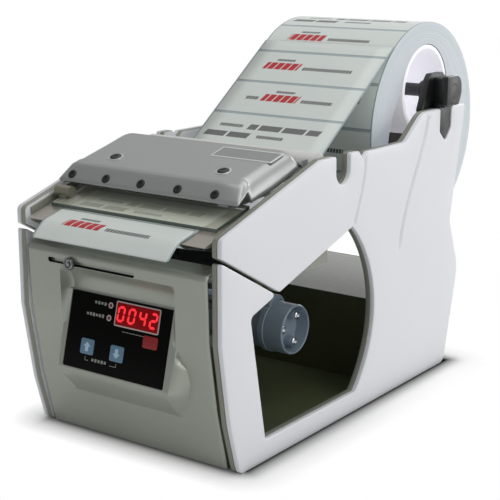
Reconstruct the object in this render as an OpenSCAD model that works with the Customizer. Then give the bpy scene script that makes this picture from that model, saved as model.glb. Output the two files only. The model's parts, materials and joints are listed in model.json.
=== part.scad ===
// Desktop label dispenser: two moulded side panels, a sloping keypad console,
// a hinged cover over the peeling plate, and a loose roll of labels on a spool.
// Machine frame while modelling: X to the right, Y to the rear from the console's
// knee, Z up from the table. place() then centres the whole on its base.

/* [Side panels] */
// Width over both side panels
body_w = 210; // [200:1:240]
// Thickness of each side panel
panel_t = 10; // [8:0.5:12]
// Depth of the panels along the table
body_d = 358; // [350:1:370]
// Height of the front knee, where the front edge turns vertical
knee_z = 108; // [104:1:112]
// Height of the rear shoulder that carries the spool
horn_z = 249.5; // [246:0.5:252]
// Height of the middle deck, with the spare spool slot
deck_z = 229.5; // [228:0.5:231]
// Height of the sloping edge at the front
brow_z = 189.5; // [188:0.5:191]
// Width of the decorative slit
slit_w = 3.2; // [2.5:0.1:4]
// Width of the panel grooves
groove_w = 3; // [2:0.1:4]
// Depth of the panel grooves
groove_depth = 1.2; // [0.8:0.1:2]

/* [Spool and roll] */
// Distance of the spool axis ahead of the panels' rear foot
spool_set = 13.5; // [11:0.5:15]
// Height of the spool axis
spool_z = 264; // [262:0.5:268]
// Width of the slots that hold the spool
slot_w = 22; // [20:0.5:24]
// Radius of the holder's hub
holder_r = 16; // [13:0.5:18]
// How far the holder stands out of the panel
holder_out = 7; // [4:0.5:10]
// Width of the roll and of its backing paper
roll_w = 139.5; // [120:0.5:145]
// How far the roll sits to the right of the middle
roll_shift = 11.5; // [8:0.5:12]
// Outer radius of the roll
roll_r = 96.2; // [90:0.1:100]
// How far the loose roll hangs below the spool axis
roll_sag = 33.6; // [30:0.1:36]
// Radial thickness of the tight outer turns
tight_turns = 12; // [8:0.5:14]
// Outer radius of the cardboard core
core_r = 42; // [40:0.5:42.5]
// Wall of the cardboard core
core_t = 4; // [3:0.5:5]

/* [Label path] */
// Thickness of the backing paper with its labels
web_t = 0.4; // [0.3:0.1:0.6]
// Radius of the white guide roller
guide_r = 11.5; // [10:0.5:12]
// Distance of the guide roller from the knee
guide_y = 152; // [150:0.5:154]
// Height of the guide roller
guide_z = 220; // [218:0.5:221]
// Height of the peeling edge
peel_z = 182.5; // [181:0.5:184]
// Length of the peeling plate from front to rear
peel_l = 64; // [56:1:70]
// Slope of the peeling plate in degrees
peel_slope = 14; // [12:0.5:15]
// Thickness of the peeling plate
peel_t = 2.5; // [2:0.1:3]
// Length of one label along the paper
label_l = 38; // [30:1:45]
// How far the free label reaches beyond the peeling edge
label_out = 16; // [10:1:20]
// How far the free label droops below the peeling edge
label_droop = 11; // [6:1:12]
// Radius of the driven roller and its counter roller
feed_r = 10; // [8:0.5:11]

/* [Cover] */
// Half width of the cover at its lower edge
cover_half = 91.5; // [88:0.5:92]
// Sheet thickness of the cover
cover_t = 2.5; // [2:0.1:3]
// Radius of the raised platform's front corners
cover_corner = 16; // [12:1:18]
// Thickness of the clear plate
clear_t = 3; // [2:0.1:4]
// Width of the gap at the cover's front corners
notch_w = 13; // [8:1:15]
// Height of the gap at the cover's front corners
notch_h = 13; // [8:1:15]
// Radius of the black screws in the cover's front
front_screw_r = 4; // [3:0.1:5]
// Spacing of the black screws in the cover's front
front_screw_gap = 36.5; // [34:0.5:38]
// Radius of the two screws in the cover's top
top_screw_r = 6.5; // [5:0.1:7]

/* [Console] */
// Half width of the front panel
front_half = 91.5; // [88:0.5:92.5]
// Wall of the front panel
front_t = 3; // [2.5:0.1:3.5]
// Width of the keypad
keypad_w = 104; // [98:1:108]
// Height of the keypad along its slope
keypad_h = 62; // [60:0.5:64]
// Thickness of the keypad plate
keypad_t = 1.6; // [1.2:0.1:2]
// Lean of the keypad from the vertical, in degrees
keypad_tilt = 14.3; // [13:0.1:16]
// Width of the arrow keys
key_w = 13.8; // [12:0.1:15]
// Height of the arrow keys
key_h = 15.5; // [14:0.1:16]
// Travel of a key
key_travel = 0.8; // [0.5:0.1:1]

/* [Rewinder and housing] */
// Radius of the rewinding hub's cup
hub_r = 22.3; // [20:0.1:23]
// Distance of the hub's free end from the middle
hub_end = 50; // [40:1:60]
// Distance of the hub's axis from the knee
hub_y = 179; // [176:0.5:182]
// Height of the hub's axis
hub_z = 67.4; // [64:0.1:70]
// Depth of the rear housing, up to the panels' rear foot
box_d = 106; // [102:0.5:110]
// Height of the rear housing's front wall
box_z = 84; // [78:0.5:86]
// Sheet thickness of the base plate and the housing
sheet_t = 2; // [1.5:0.1:2.5]

/* [Clearances] */
// Gap between pieces that lie next to each other
seat_gap = 0.3; // [0.2:0.05:0.4]
// Radial clearance of a shaft in its bearing
run_gap = 0.05; // [0.03:0.01:0.09]

/* [Hidden] */

$fn = 64;
eps = 0.01;

// ---- places that follow from the sizes above
spool_y = body_d - spool_set;
box_y = body_d - box_d;
outer_x = body_w / 2;
inner_x = outer_x - panel_t;
waist_z = 141;
bulge_z = 92;
bulge_y = body_d + 22.5;
rear_top_y = body_d + 24.8;
brow_slope = (deck_z - brow_z) / 133;
slit_drop = 0.555;
slit_z = 175.8;
window_floor = 18;
window_front = 36.3;
window_rise = 0.302;
window_z0 = 111.6;
window_top_y = 182.6;
window_rear_y = 193;
slot1_y = 166;
slot1_floor = 205;
slot2_floor = horn_z - 31;

plate_t = 1.5;                               // bearing plates inside the panels
plate_x = inner_x - plate_t - 0.5;           // their inner face
plate_y0 = 6;
plate_y1 = 158;
plate_z0 = 140;
shaft_r = 4;
crossbar_y = 28;                             // round bar behind the console
crossbar_z = knee_z + 24;
crossbar_r = 5;

// lengthwise section of the front panel's outer face: [y, z, corner radius]
lip_y = -2.4;
lip_z = 160;
deck_back_y = 13;
deck_back_z = 165;
shin_y = 9.5;
shin_z = 50;
toe_y = 22;
toe_z = 2;

base_z = 4;                                  // underside of the base plate
floor_z = base_z + sheet_t;                  // its upper face
base_y0 = toe_y + front_t;
base_y1 = body_d - 6;
foot_r = 7;

tilt = keypad_tilt;
pad_y = -6.8;                                // middle of the keypad's lower edge
pad_z = 66.4;
nose_x = keypad_w / 2 + 3;

peel_y = -2;
peel_k = tan(peel_slope);
function peel_at(y) = peel_z + (y - peel_y) * peel_k;

roll_y = spool_y + 0.5;
roll_z = spool_z - roll_sag;
roll_x0 = roll_shift - roll_w / 2;
roll_x1 = roll_shift + roll_w / 2;
skew = (roll_shift + 1.6) / 300;             // sideways drift of the paper per mm of depth
function web_mid(y) = -1.6 + skew * y;

hinge_y = 125;
hinge_z = 226;
cover_y0 = 37;
cover_z0 = 207;
cover_rise = 0.206;
cover_y1 = 122;
top_y0 = 46;
top_z0 = 220.3;
top_rise = 0.25;
top_y1 = 116;
top_half = cover_half - 8;
function top_at(y) = top_z0 + (y - top_y0) * top_rise;
function rim_at(y) = cover_z0 + (y - cover_y0) * cover_rise;

clear_half = 84.5;
clear_y0 = 19.5;
clear_y1 = 62;
guide_bar_y = 32;
guide_bar_r = 4.6;

feed_y = 80;
feed_z = 172;
counter_z = feed_z - 2 * feed_r - web_t - 2 * seat_gap;
pulley_x0 = -plate_x + 2;
pulley_w = 6;
feed_pulley_r = 9;
motor_pulley_r = 6;
motor_y = 118;
motor_z = 160;
belt_t = 1.2;

hub_x0 = -60;
cup_depth = 13;
screw_ring = 13.5;

box_half = 80;
box_lean = 8;                                // the lid climbs this much to the rear
box_y1 = body_d - 4;
inlet_x = -38;
switch_x = 12;
rear_z = 44;
rocker_lean = 7;

rod_r = 6;                                   // the spool's steel rod
holder_x0 = inner_x - 9;
shaft_end = holder_x0 + 8;
hole_r = 66;                                 // lower end of the egg-shaped hole in the roll
hole_z = roll_z - 14.4;
tight_r = roll_r - tight_turns;

front_y = peel_y - label_out;
rear_y = roll_y + roll_r;
centre_y = (front_y + rear_y) / 2;

// ---- outline helpers
function unit(v) = v / norm(v);
function xy(p) = [p.x, p.y];
function bezier(a, b, c, d, n) = [for (i = [0:n]) let (t = i / n, s = 1 - t)
    s * s * s * a + 3 * s * s * t * b + 3 * s * t * t * c + t * t * t * d];

// corner [x, y, r] of a closed outline turned into an arc that touches both sides
function corner(a, p, b, n) = p[2] == 0 ? [xy(p)] :
    let (u = unit(xy(a) - xy(p)), v = unit(xy(b) - xy(p)), half = acos(u * v) / 2,
         c = xy(p) + unit(u + v) * p[2] / sin(half),
         s = xy(p) + u * p[2] / tan(half) - c, e = xy(p) + v * p[2] / tan(half) - c,
         a0 = atan2(s.y, s.x), turn = atan2(s.x * e.y - s.y * e.x, s * e))
    [for (k = [0:n]) c + p[2] * [cos(a0 + turn * k / n), sin(a0 + turn * k / n)]];
function rounded(c, n = 5) = [for (i = [0:len(c) - 1])
    each corner(c[(i + len(c) - 1) % len(c)], c[i], c[(i + 1) % len(c)], n)];

// an open path thickened to one side by t (to the left of its direction)
function side_of(p, i) = unit(let (a = p[max(i - 1, 0)], b = p[min(i + 1, len(p) - 1)]) [a.y - b.y, b.x - a.x]);
function strip(p, t, back = 0) = concat([for (i = [0:len(p) - 1]) p[i] - side_of(p, i) * back],
    [for (i = [len(p) - 1:-1:0]) p[i] + side_of(p, i) * t]);

// extrude an outline given as [y, z] along X from x0 to x1
module along_x(x0, x1) {
    translate([x0, 0, 0]) rotate([90, 0, 90]) linear_extrude(x1 - x0) children();
}
module rod(y, z, r, x0, x1) {
    translate([x0, y, z]) rotate([0, 90, 0]) cylinder(r = r, h = x1 - x0);
}
module place() { translate([0, -centre_y, 0]) children(); }

// ---- side panels
slot2_shape = [[spool_y - slot_w / 2, slot2_floor + 10, 3], [spool_y, slot2_floor, 4],
    [spool_y + slot_w / 2, slot2_floor + 12, 3]];
window_curve = bezier([window_top_y, window_z0 + window_rise * window_top_y], [214.9, 139.6], [245.7, 79.2],
    [window_rear_y, window_floor], 14);
function panel_top() = [
    [body_d, 0, 8], [bulge_y, bulge_z, 28], [body_d + 2.5, waist_z, 15], [rear_top_y, horn_z, 3],
    [spool_y + slot_w / 2, horn_z, 2], slot2_shape[2], slot2_shape[1], slot2_shape[0],
    [spool_y - slot_w / 2, horn_z + 0.3, 2.5],
    [spool_y - 43.5, horn_z, 20], [spool_y - 74.5, deck_z - 2.7, 12],
    [204.3, deck_z - 2.3, 2], [197, deck_z - 7.5, 1], [190, deck_z, 3],
    [slot1_y + slot_w / 2, deck_z, 2.5], [slot1_y + slot_w / 2, slot1_floor, slot_w / 2 - 0.1],
    [slot1_y - slot_w / 2, slot1_floor, slot_w / 2 - 0.1], [slot1_y - slot_w / 2, deck_z, 2.5],
    [133, deck_z, 8], [0, brow_z, 5], [0, slit_z, 1.5]];
panel_foot = [[0, knee_z, 30], [11, 42, 60], [23, 0, 6]];
function slit_upper(y) = slit_z - slit_drop * y;
slit_y1 = 71;
slit_step = slit_w * sqrt(1 + slit_drop * slit_drop);

module open_outline() {
    meet_y = (slit_z - window_z0) / (window_rise + slit_drop);
    low_y = (slit_z - slit_step - window_z0) / (window_rise + slit_drop);
    polygon(rounded(concat(panel_top(),
        [[meet_y, slit_upper(meet_y), 4]],
        [for (p = window_curve) [p.x, p.y, 0]],
        [[56.5, window_floor, 4], [window_front, window_z0 + window_rise * window_front, 5],
         [low_y, slit_upper(low_y) - slit_step, 2.5], [0, slit_z - slit_step, 1.5]],
        panel_foot)));
}
module closed_outline() {
    polygon(rounded(concat(panel_top(),
        [[slit_y1, slit_upper(slit_y1), 0], [slit_y1, slit_upper(slit_y1) - slit_step, 0],
         [0, slit_z - slit_step, 1.5]],
        panel_foot)));
}
// the two pressed lines in the outer face of a panel
module panel_grooves() {
    short = bezier([201, deck_z - 2], [201, 205], [190, 185], [183, window_z0 + window_rise * 183 - 4], 8);
    long = bezier([spool_y - 31.5, horn_z + 2], [spool_y - 45.8, 207], [spool_y - 75.2, 174.8],
        [spool_y - 82.5, 132], 12);
    for (g = [short, long]) polygon(strip(g, groove_w / 2, groove_w / 2));
}
module right_side_panel() {
    color("#d9dadf") difference() {
        along_x(inner_x, outer_x) open_outline();
        along_x(outer_x - groove_depth, outer_x + 1) panel_grooves();
    }
}
module left_side_panel() {
    color("#d9dadf") difference() {
        along_x(-outer_x, -inner_x) closed_outline();
        along_x(-outer_x - 1, -outer_x + groove_depth) panel_grooves();
    }
}

// ---- base, feet and the rear housing
module base_plate() {
    color("#3a3d2c") translate([-inner_x + seat_gap, base_y0, base_z])
        cube([2 * (inner_x - seat_gap), base_y1 - base_y0, sheet_t]);
}
module rubber_feet() {
    color("#26262a") for (x = [-1, 1], y = [base_y0 + 16, base_y1 - 16])
        translate([x * (inner_x - 16), y, 0]) cylinder(r = foot_r, h = base_z);
}
function lid_at(y) = box_z + box_lean * (y - box_y) / (box_y1 - box_y);
module rear_housing() {
    color("#454a30") union() {
        along_x(-box_half, box_half) polygon([[box_y, floor_z], [box_y, box_z], [box_y1, box_z + box_lean],
            [box_y1, box_z + box_lean - sheet_t], [box_y + sheet_t, box_z - sheet_t], [box_y + sheet_t, floor_z]]);
        for (x = [-box_half, box_half - sheet_t]) along_x(x, x + sheet_t)
            polygon([[box_y, floor_z], [box_y, box_z], [box_y1, box_z + box_lean], [box_y1, floor_z]]);
    }
}
module rear_plate() {
    color("#2c2d2f") difference() {
        along_x(-box_half, box_half) polygon([[box_y1, floor_z], [box_y1, box_z + box_lean],
            [box_y1 + sheet_t, box_z + box_lean], [box_y1 + sheet_t, floor_z]]);
        translate([inlet_x - 14, box_y1 - 1, rear_z - 11]) cube([28, sheet_t + 2, 22]);
        translate([switch_x - 7, box_y1 - 1, rear_z - 11]) cube([14, sheet_t + 2, 22]);
    }
}
module rear_plate_screws() {
    color("#8d9095") for (x = [-1, 1], z = [floor_z + 9, box_z - 4])
        translate([x * (box_half - 9), box_y1 + sheet_t, z]) rotate([-90, 0, 0]) cylinder(r = 3, h = 1.8);
}
module power_inlet() {
    color("#1b1b1d") difference() {
        union() {
            translate([inlet_x - 13.7, box_y1 - 18, rear_z - 10.7]) cube([27.4, 18 + sheet_t, 21.4]);
            translate([inlet_x - 16, box_y1 + sheet_t, rear_z - 13]) cube([32, 2.5, 26]);
        }
        translate([inlet_x - 11, box_y1 - 12, rear_z - 8]) cube([22, 20, 16]);
    }
    color("#c9b98a") for (p = [[-6, 2.5], [6, 2.5], [0, -3]])
        translate([inlet_x + p.x - 1, box_y1 - 13, rear_z + p.y - 2]) cube([2, 12, 4]);
}
module switch_frame() {
    y = box_y1 + sheet_t;
    color("#1b1b1d") difference() {
        union() {
            translate([switch_x - 6.7, y - 14, rear_z - 10.7]) cube([13.4, 14 + eps, 21.4]);
            translate([switch_x - 9, y, rear_z - 13]) cube([18, 1.5, 26]);
        }
        translate([switch_x - 5, y - 10, rear_z - 9]) cube([10, 20, 18]);
        rod(y - 2, rear_z, 1.5 + run_gap, switch_x - 6, switch_x + 6);
    }
}
module power_switch() {
    y = box_y1 + sheet_t;
    color("#2a2a2d") union() {
        translate([0, y - 2, rear_z]) rotate([rocker_lean, 0, 0])
            along_x(switch_x - 5 + seat_gap, switch_x + 5 - seat_gap)
                polygon([[-3, -3], [1, -8], [4.6, -8], [3.6, 0], [4.6, 8], [1, 8], [-3, 3]]);
        rod(y - 2, rear_z, 1.5, switch_x - 6 + seat_gap, switch_x + 6 - seat_gap);
    }
}
module power_supply() {
    x0 = -box_half + 20;
    y0 = box_y + 14;
    w = box_half + 4;
    d = box_d - 36;
    color("#3c6e45") translate([x0, y0, floor_z + 8]) cube([w, d, 1.6]);
    color("#2b2b2f") for (p = [[10, 16], [26, 16], [10, 46]])
        translate([x0 + p.x, y0 + p.y, floor_z + 9.6]) cylinder(r = 6, h = 18);
    color("#8a8d92") for (x = [4, w - 4], y = [4, d - 4])
        translate([x0 + x, y0 + y, floor_z]) cylinder(r = 3, h = 8);
}
module transformer() {
    color("#5a5f66") translate([box_half - 46, box_y + 24, floor_z]) cube([36, 44, 34]);
    color("#b06a2c") translate([box_half - 40, box_y + 18, floor_z + 6]) cube([24, 6, 22]);
}

// ---- bearing plates and their fasteners
plate_top = [[plate_y0, brow_z + brow_slope * plate_y0 - 2.5], [131, brow_z + brow_slope * 131 - 2.5],
    [plate_y1, guide_z + shaft_r + 2.5]];
module bearing_plate(x0) {
    color("#b3aa98") difference() {
        along_x(x0, x0 + plate_t) polygon(concat([[plate_y0, 178], [40, 160], [60, plate_z0], [plate_y1, plate_z0]],
            [plate_top[2], plate_top[1], plate_top[0]]));
        for (p = [[guide_y, guide_z], [feed_y, feed_z], [feed_y, counter_z]])
            rod(p.x, p.y, shaft_r + run_gap, x0 - 1, x0 + plate_t + 1);
        rod(hinge_y, hinge_z - 6, 3, x0 - 1, x0 + plate_t + 1);
    }
}
module left_bearing_plate() { bearing_plate(-plate_x - plate_t); }
module right_bearing_plate() { bearing_plate(plate_x); }
screw_places = [[24, 176], [62, 150], [122, 145], [110, 205]];
module bearing_plate_screws() {
    color("#8d9095") for (s = [-1, 1], p = screw_places)
        rod(p.x, p.y, 3, s > 0 ? plate_x - 1.6 : -plate_x, s > 0 ? plate_x : -plate_x + 1.6);
}
module front_crossbar() {
    color("#9a9da2") rod(crossbar_y, crossbar_z, crossbar_r, -inner_x, inner_x);
}

place_front = rounded([[deck_back_y, deck_back_z, 0], [lip_y, lip_z, 5], [0, knee_z, 30], [shin_y, shin_z, 60],
    [toe_y, toe_z, 0], [toe_y + 40, toe_z, 0], [deck_back_y + 40, deck_back_z, 0]]);
shell_path = [for (p = place_front) if (p.x < 30) p];

// ---- console: local frame on the keypad's face, x across, y up the slope, z outwards
module on_keypad() {
    translate([0, pad_y, pad_z]) rotate([90 - tilt, 0, 0]) children();
}
function pad(w, d = 0) = [pad_y + w * sin(tilt) - d * cos(tilt), pad_z + w * cos(tilt) + d * sin(tilt)];
seat_d = -keypad_t;
tub_top = pad(keypad_h + 1.5, seat_d);
tub_low = pad(-2, 0);
tub_back = seat_d - front_t;
tub_outline = [[lip_y + 0.8, 145.5], [tub_top.x - 1, tub_top.y + 2], tub_top, pad(0, seat_d), pad(0, 0), tub_low,
    [-4.2, 58], [12.6, 40], [14.8, 42.5], [-1.7, 59.7], pad(-0.5, tub_back), pad(keypad_h + 1, tub_back),
    [tub_top.x + 1.5, tub_top.y + 3.7], [lip_y + 3.3, 147.2]];
module nose_flank(s) {
    x = nose_x - front_t + 0.5;
    hull() for (p = [[x, 1.4, 98.5], [x, tub_low.x, tub_low.y], [x, -4.2, 58], [x, 12.6, 40],
        [nose_x + 17, 5.2, 78], [x, 9, 78], [x, 15, 42]])
        translate([s * p.x, p.y, p.z]) cube(0.4, center = true);
}
key_places = [[-28.7, 19.1], [2.4, 18.8], [33.9, 33.4]];
lamp_places = [[-10.3, 55.2], [-10.5, 45.1]];
reset_w = 15;
reset_h = 11;
screen = [17.9, 50.2];
screen_w = 43.6;
screen_h = 18.3;
function key_size(i) = i < 2 ? [key_w, key_h] : [reset_w, reset_h];
return_d = 16;                               // depth of the front panel's side returns
slot_x0 = -68.7;
slot_x1 = 21.9;
slot_z = 151;
slot_h = 3.6;
knob_x = -43.6;
function front_at(z) = z > knee_z ? lip_y * (z - knee_z) / (lip_z - knee_z)
    : shin_y * (knee_z - z) / (knee_z - shin_z);

module keypad_holes(low) {
    for (i = [0:2]) translate([key_places[i].x, key_places[i].y, low / 2 + 1])
        cube([key_size(i).x + 2 * seat_gap, key_size(i).y + 2 * seat_gap, 2 - low], center = true);
}
module front_panel() {
    color("#7f8480") difference() {
        union() {
            difference() {
                along_x(-front_half, front_half) polygon(strip(shell_path, front_t));
                translate([-nose_x, -20, 41]) cube([2 * nose_x, 45, 104]);
            }
            for (x = [-front_half, front_half - front_t])
                along_x(x, x + front_t) polygon(concat(shell_path, [[toe_y + 8, toe_z], [return_d, knee_z],
                    [return_d - 3, deck_back_z]]));
            along_x(-nose_x, nose_x) polygon(tub_outline);
            for (s = [-1, 1]) {
                along_x(s > 0 ? nose_x - front_t : -nose_x, s > 0 ? nose_x : -nose_x + front_t)
                    polygon([[front_at(145.5), 145.5], [front_at(97.5), 97.5], [14, 97.5], [14, 145.5]]);
                nose_flank(s);
            }
        }
        translate([-inner_x, base_y0 - seat_gap, base_z - seat_gap])
            cube([2 * inner_x, 60, sheet_t + 2 * seat_gap]);
        on_keypad() keypad_holes(seat_d - key_root - key_travel - seat_gap);
        along_x(slot_x0, slot_x1) polygon([[-10, slot_z - slot_h / 2], [10, slot_z - slot_h / 2],
            [10, slot_z + slot_h / 2], [-10, slot_z + slot_h / 2]]);
    }
}
module keypad_plate() {
    color("#141416") on_keypad() difference() {
        translate([-keypad_w / 2, 0, seat_d]) cube([keypad_w, keypad_h, keypad_t]);
        keypad_holes(seat_d - 1);
        translate([screen.x, screen.y, 0]) cube([screen_w + 1.6, screen_h + 1.6, 1.6], center = true);
        for (p = lamp_places) translate([p.x, p.y, -0.6]) cylinder(r = 2.2, h = 2);
    }
}
module up_key() { key(0, "#5f86a6"); }
module down_key() { key(1, "#5f86a6"); }
module reset_key() { key(2, "#8e2430"); }
key_rise = 0.5;
key_root = 0.8;
module key(i, tint) {
    color(tint) on_keypad() translate([key_places[i].x, key_places[i].y, (key_rise + seat_d - key_root) / 2])
        cube([key_size(i).x, key_size(i).y, key_rise + key_root + keypad_t], center = true);
}
module display_frame() {
    color("#c8c9cc") on_keypad() translate([screen.x, screen.y, -0.2]) difference() {
        cube([screen_w + 1.6, screen_h + 1.6, 1.2], center = true);
        cube([screen_w, screen_h, 3], center = true);
    }
}
module display_module() {
    color("#5a0c10") on_keypad() translate([screen.x, screen.y, -0.5])
        cube([screen_w - 0.1, screen_h - 0.1, 0.6], center = true);
}
digit_h = 12.5;
digit_w = 7;
stroke = 1.5;
lit = [[1, 1, 1, 0, 1, 1, 1], [1, 1, 1, 0, 1, 1, 1], [0, 1, 1, 1, 0, 1, 0], [1, 0, 1, 1, 1, 0, 1]];
module segment(k) {
    // 0 top, 1 upper left, 2 upper right, 3 middle, 4 lower left, 5 lower right, 6 bottom
    level = k == 0 ? 1 : k == 3 ? 0 : -1;
    across = k == 0 || k == 3 || k == 6;
    if (across) translate([0, level * (digit_h - stroke) / 2, 0])
        cube([digit_w - 2 * stroke - 0.4, stroke, 0.3], center = true);
    else translate([(k % 3 == 1 ? -1 : 1) * (digit_w - stroke) / 2, (k < 3 ? 1 : -1) * digit_h / 4, 0])
        cube([stroke, digit_h / 2 - stroke - 0.4, 0.3], center = true);
}
module display_segments() {
    color("#ff3030") on_keypad() for (d = [0:3], k = [0:6]) if (lit[d][k] == 1)
        translate([screen.x + (d - 1.5) * 10.4, screen.y, -0.05]) segment(k);
}
module indicator_lamps() {
    color("#7a4a50") on_keypad() for (p = lamp_places) translate([p.x, p.y, -0.6]) cylinder(r = 2, h = 0.9);
}
board_d = seat_d - front_t - 5;
board_feet = [[-44, 6], [44, 6], [-44, 56], [44, 56]];
module control_board() {
    color("#2f6b45") on_keypad() {
        translate([-49, 2, board_d - 1.6]) cube([98, 58, 1.6]);
        for (p = board_feet) translate([p.x, p.y, board_d]) cylinder(r = 2.5, h = 5);
        translate([-30, 24, board_d - 9.6]) cube([44, 20, 8]);
    }
}
module board_screws() {
    color("#8d9095") on_keypad() for (p = board_feet)
        translate([p.x, p.y, board_d - 3.4]) cylinder(r = 2.8, h = 1.8);
}
rail_y = front_at(slot_z) + front_t + 9;
rail_r = 2.5;
module sensor_rail() {
    color("#a9acb1") rod(rail_y, slot_z, rail_r, -front_half + front_t, front_half - front_t);
}
module label_sensor() {
    y0 = front_at(slot_z) + front_t + 3;
    color("#232427") difference() {
        translate([knob_x - 9, y0, slot_z - 5]) cube([18, 13, 11]);
        rod(rail_y, slot_z, rail_r + run_gap, knob_x - 20, knob_x + 20);
        translate([knob_x, y0 - 1, slot_z]) rotate([-90, 0, 0]) cylinder(r = 1.5, h = 3);
    }
}
module sensor_knob() {
    y0 = front_at(slot_z);
    color("#cfd1d4") translate([knob_x, y0 - seat_gap, slot_z]) rotate([90, 0, 0]) cylinder(r = 4.6, h = 3.4);
    color("#cfd1d4") translate([knob_x, y0 + front_t + 3 + 2, slot_z]) rotate([90, 0, 0])
        cylinder(r = 1.5, h = front_t + 5 + seat_gap + eps);
}

// ---- peeling plate
module peel_plate() {
    k = peel_k;
    y1 = peel_y + peel_l;
    color("#b9a89c") along_x(3 - plate_x, plate_x - 3) polygon([[peel_y, peel_z], [y1, peel_at(y1)],
        [y1, peel_at(y1) - peel_t], [peel_y + 5, peel_at(peel_y + 5) - peel_t], [peel_y, peel_z - 0.6]]);
}
module peel_bar() {
    color("#8d9095") along_x(-plate_x, plate_x) polygon([[22, peel_at(22) - peel_t], [34, peel_at(34) - peel_t],
        [34, peel_at(22) - peel_t - 6], [22, peel_at(22) - peel_t - 6]]);
}

// ---- cover: a shallow pressed tray that swings on two pins at its rear
module cover_slab(y0, y1, half, z0, rise, r, low) {
    a = atan(rise);
    l = (y1 - y0) / cos(a);
    translate([0, y0, z0 - low]) rotate([a, 0, 0]) for (s = [-1, 1]) {
        translate([s * (half - r), r, 0]) cylinder(r = r, h = 0.1, $fn = 32);
        translate([s * (half - 3), l - 3, 0]) cylinder(r = 3, h = 0.1, $fn = 32);
    }
}
module tray(inset) {
    hull() {
        cover_slab(cover_y0 + inset, cover_y1 - inset, cover_half - inset, cover_z0, cover_rise, 6, inset > 0 ? 1 : 0);
        cover_slab(top_y0 + inset, top_y1 - inset / 2, top_half - inset / 2, top_z0, top_rise, cover_corner, inset);
    }
}
module top_cover() {
    color("#969896") difference() {
        union() {
            difference() {
                tray(0);
                tray(cover_t);
            }
            for (s = [-1, 1]) rod(hinge_y, hinge_z, 5, s > 0 ? cover_half - 7.5 : -cover_half + 2.5,
                s > 0 ? cover_half - 2.5 : -cover_half + 7.5);
        }
        rod(hinge_y, hinge_z, 2.5 + run_gap, -plate_x, plate_x);
        for (s = [-1, 1]) translate([s * (cover_half - 3), cover_y0 + 4, rim_at(cover_y0) - 3])
            rotate([90, 0, s * 45]) translate([0, 0, -14]) linear_extrude(28)
                polygon([[-notch_w / 2, 0], [notch_w / 2, 0], [0, notch_h]]);
        for (x = front_screw_xs) translate([x, flange_mid.x, flange_mid.y]) rotate([flange_a, 0, 0])
            cylinder(r = front_screw_r + seat_gap, h = 14, center = true);
        for (x = top_screw_xs) translate([x, top_screw_y, top_at(top_screw_y)]) rotate([atan(top_rise), 0, 0])
            cylinder(r = top_screw_r - 2, h = 12, center = true);
    }
}
front_screw_xs = [for (i = [0:4]) -7 + (i - 2) * front_screw_gap];
top_screw_xs = [-55.5, 55.5];
top_screw_y = 67;
flange_mid = [(cover_y0 + top_y0) / 2 - 0.5, (cover_z0 + top_z0) / 2 - 0.7];
flange_a = 180 - atan2(top_y0 - cover_y0, top_z0 - cover_z0) - 90;
module cover_front_screws() {
    color("#1d1d1f") for (x = front_screw_xs) translate([x, flange_mid.x, flange_mid.y]) rotate([flange_a, 0, 0])
        difference() {
            translate([0, 0, -4]) cylinder(r = front_screw_r, h = 4.6);
            translate([0, 0, -1]) cylinder(r = front_screw_r * 0.45, h = 3, $fn = 6);
        }
}
module cover_top_screws() {
    color("#2a2a2c") for (x = top_screw_xs) translate([x, top_screw_y, top_at(top_screw_y)])
        rotate([atan(top_rise), 0, 0]) difference() {
            union() {
                translate([0, 0, 0.1]) cylinder(r = top_screw_r, h = 1.1);
                translate([0, 0, -5]) cylinder(r = top_screw_r - 2 - seat_gap, h = 5.2);
            }
            for (a = [0, 90]) rotate(a) translate([0, 0, 1.2]) cube([6, 1.4, 1.6], center = true);
        }
}
module badge_plate() {
    color("#b9bab8") translate([54.5, 99.5, top_at(99.5)]) rotate([atan(top_rise), 0, 0])
        translate([-30, -9.5, 0.1]) cube([60, 19, 0.8]);
}
module hinge_pins() {
    color("#a9acb1") for (s = [-1, 1]) {
        rod(hinge_y, hinge_z, 2.5, s > 0 ? cover_half - 8 : -plate_x + eps, s > 0 ? plate_x - eps : -cover_half + 8);
        along_x(s > 0 ? plate_x - 1.2 : -plate_x, s > 0 ? plate_x : -plate_x + 1.2)
            polygon([[hinge_y - 4, hinge_z - 12], [hinge_y + 4, hinge_z - 12], [hinge_y + 4, hinge_z + 4],
                [hinge_y - 4, hinge_z + 4]]);
    }
}
function clear_at(y) = peel_at(y) + web_t + 2 * seat_gap;
module clear_plate() {
    color([0.8, 0.9, 0.85, 0.4]) along_x(-clear_half, clear_half) polygon([[clear_y0, clear_at(clear_y0)],
        [clear_y1, clear_at(clear_y1)], [clear_y1, clear_at(clear_y1) + clear_t],
        [clear_y0, clear_at(clear_y0) + clear_t]]);
}
bracket_y = 54;
module plate_brackets() {
    y0 = bracket_y;
    y1 = clear_y1 - 2;
    low = function (y) clear_at(y) + clear_t;
    top = function (y) top_at(y - cover_t) - cover_t - 0.2;
    color("#55585c") for (s = [-1, 1]) along_x(s > 0 ? 60 : -70, s > 0 ? 70 : -60)
        polygon([[y0, low(y0)], [y1, low(y1)], [y1, top(y1)], [y0, top(y0)], [y0, top(y0) - 1.5],
            [y1 - 1.5, top(y1 - 1.5) - 1.5], [y1 - 1.5, low(y1 - 1.5) + 1.5], [y0, low(y0) + 1.5]]);
}
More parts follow.
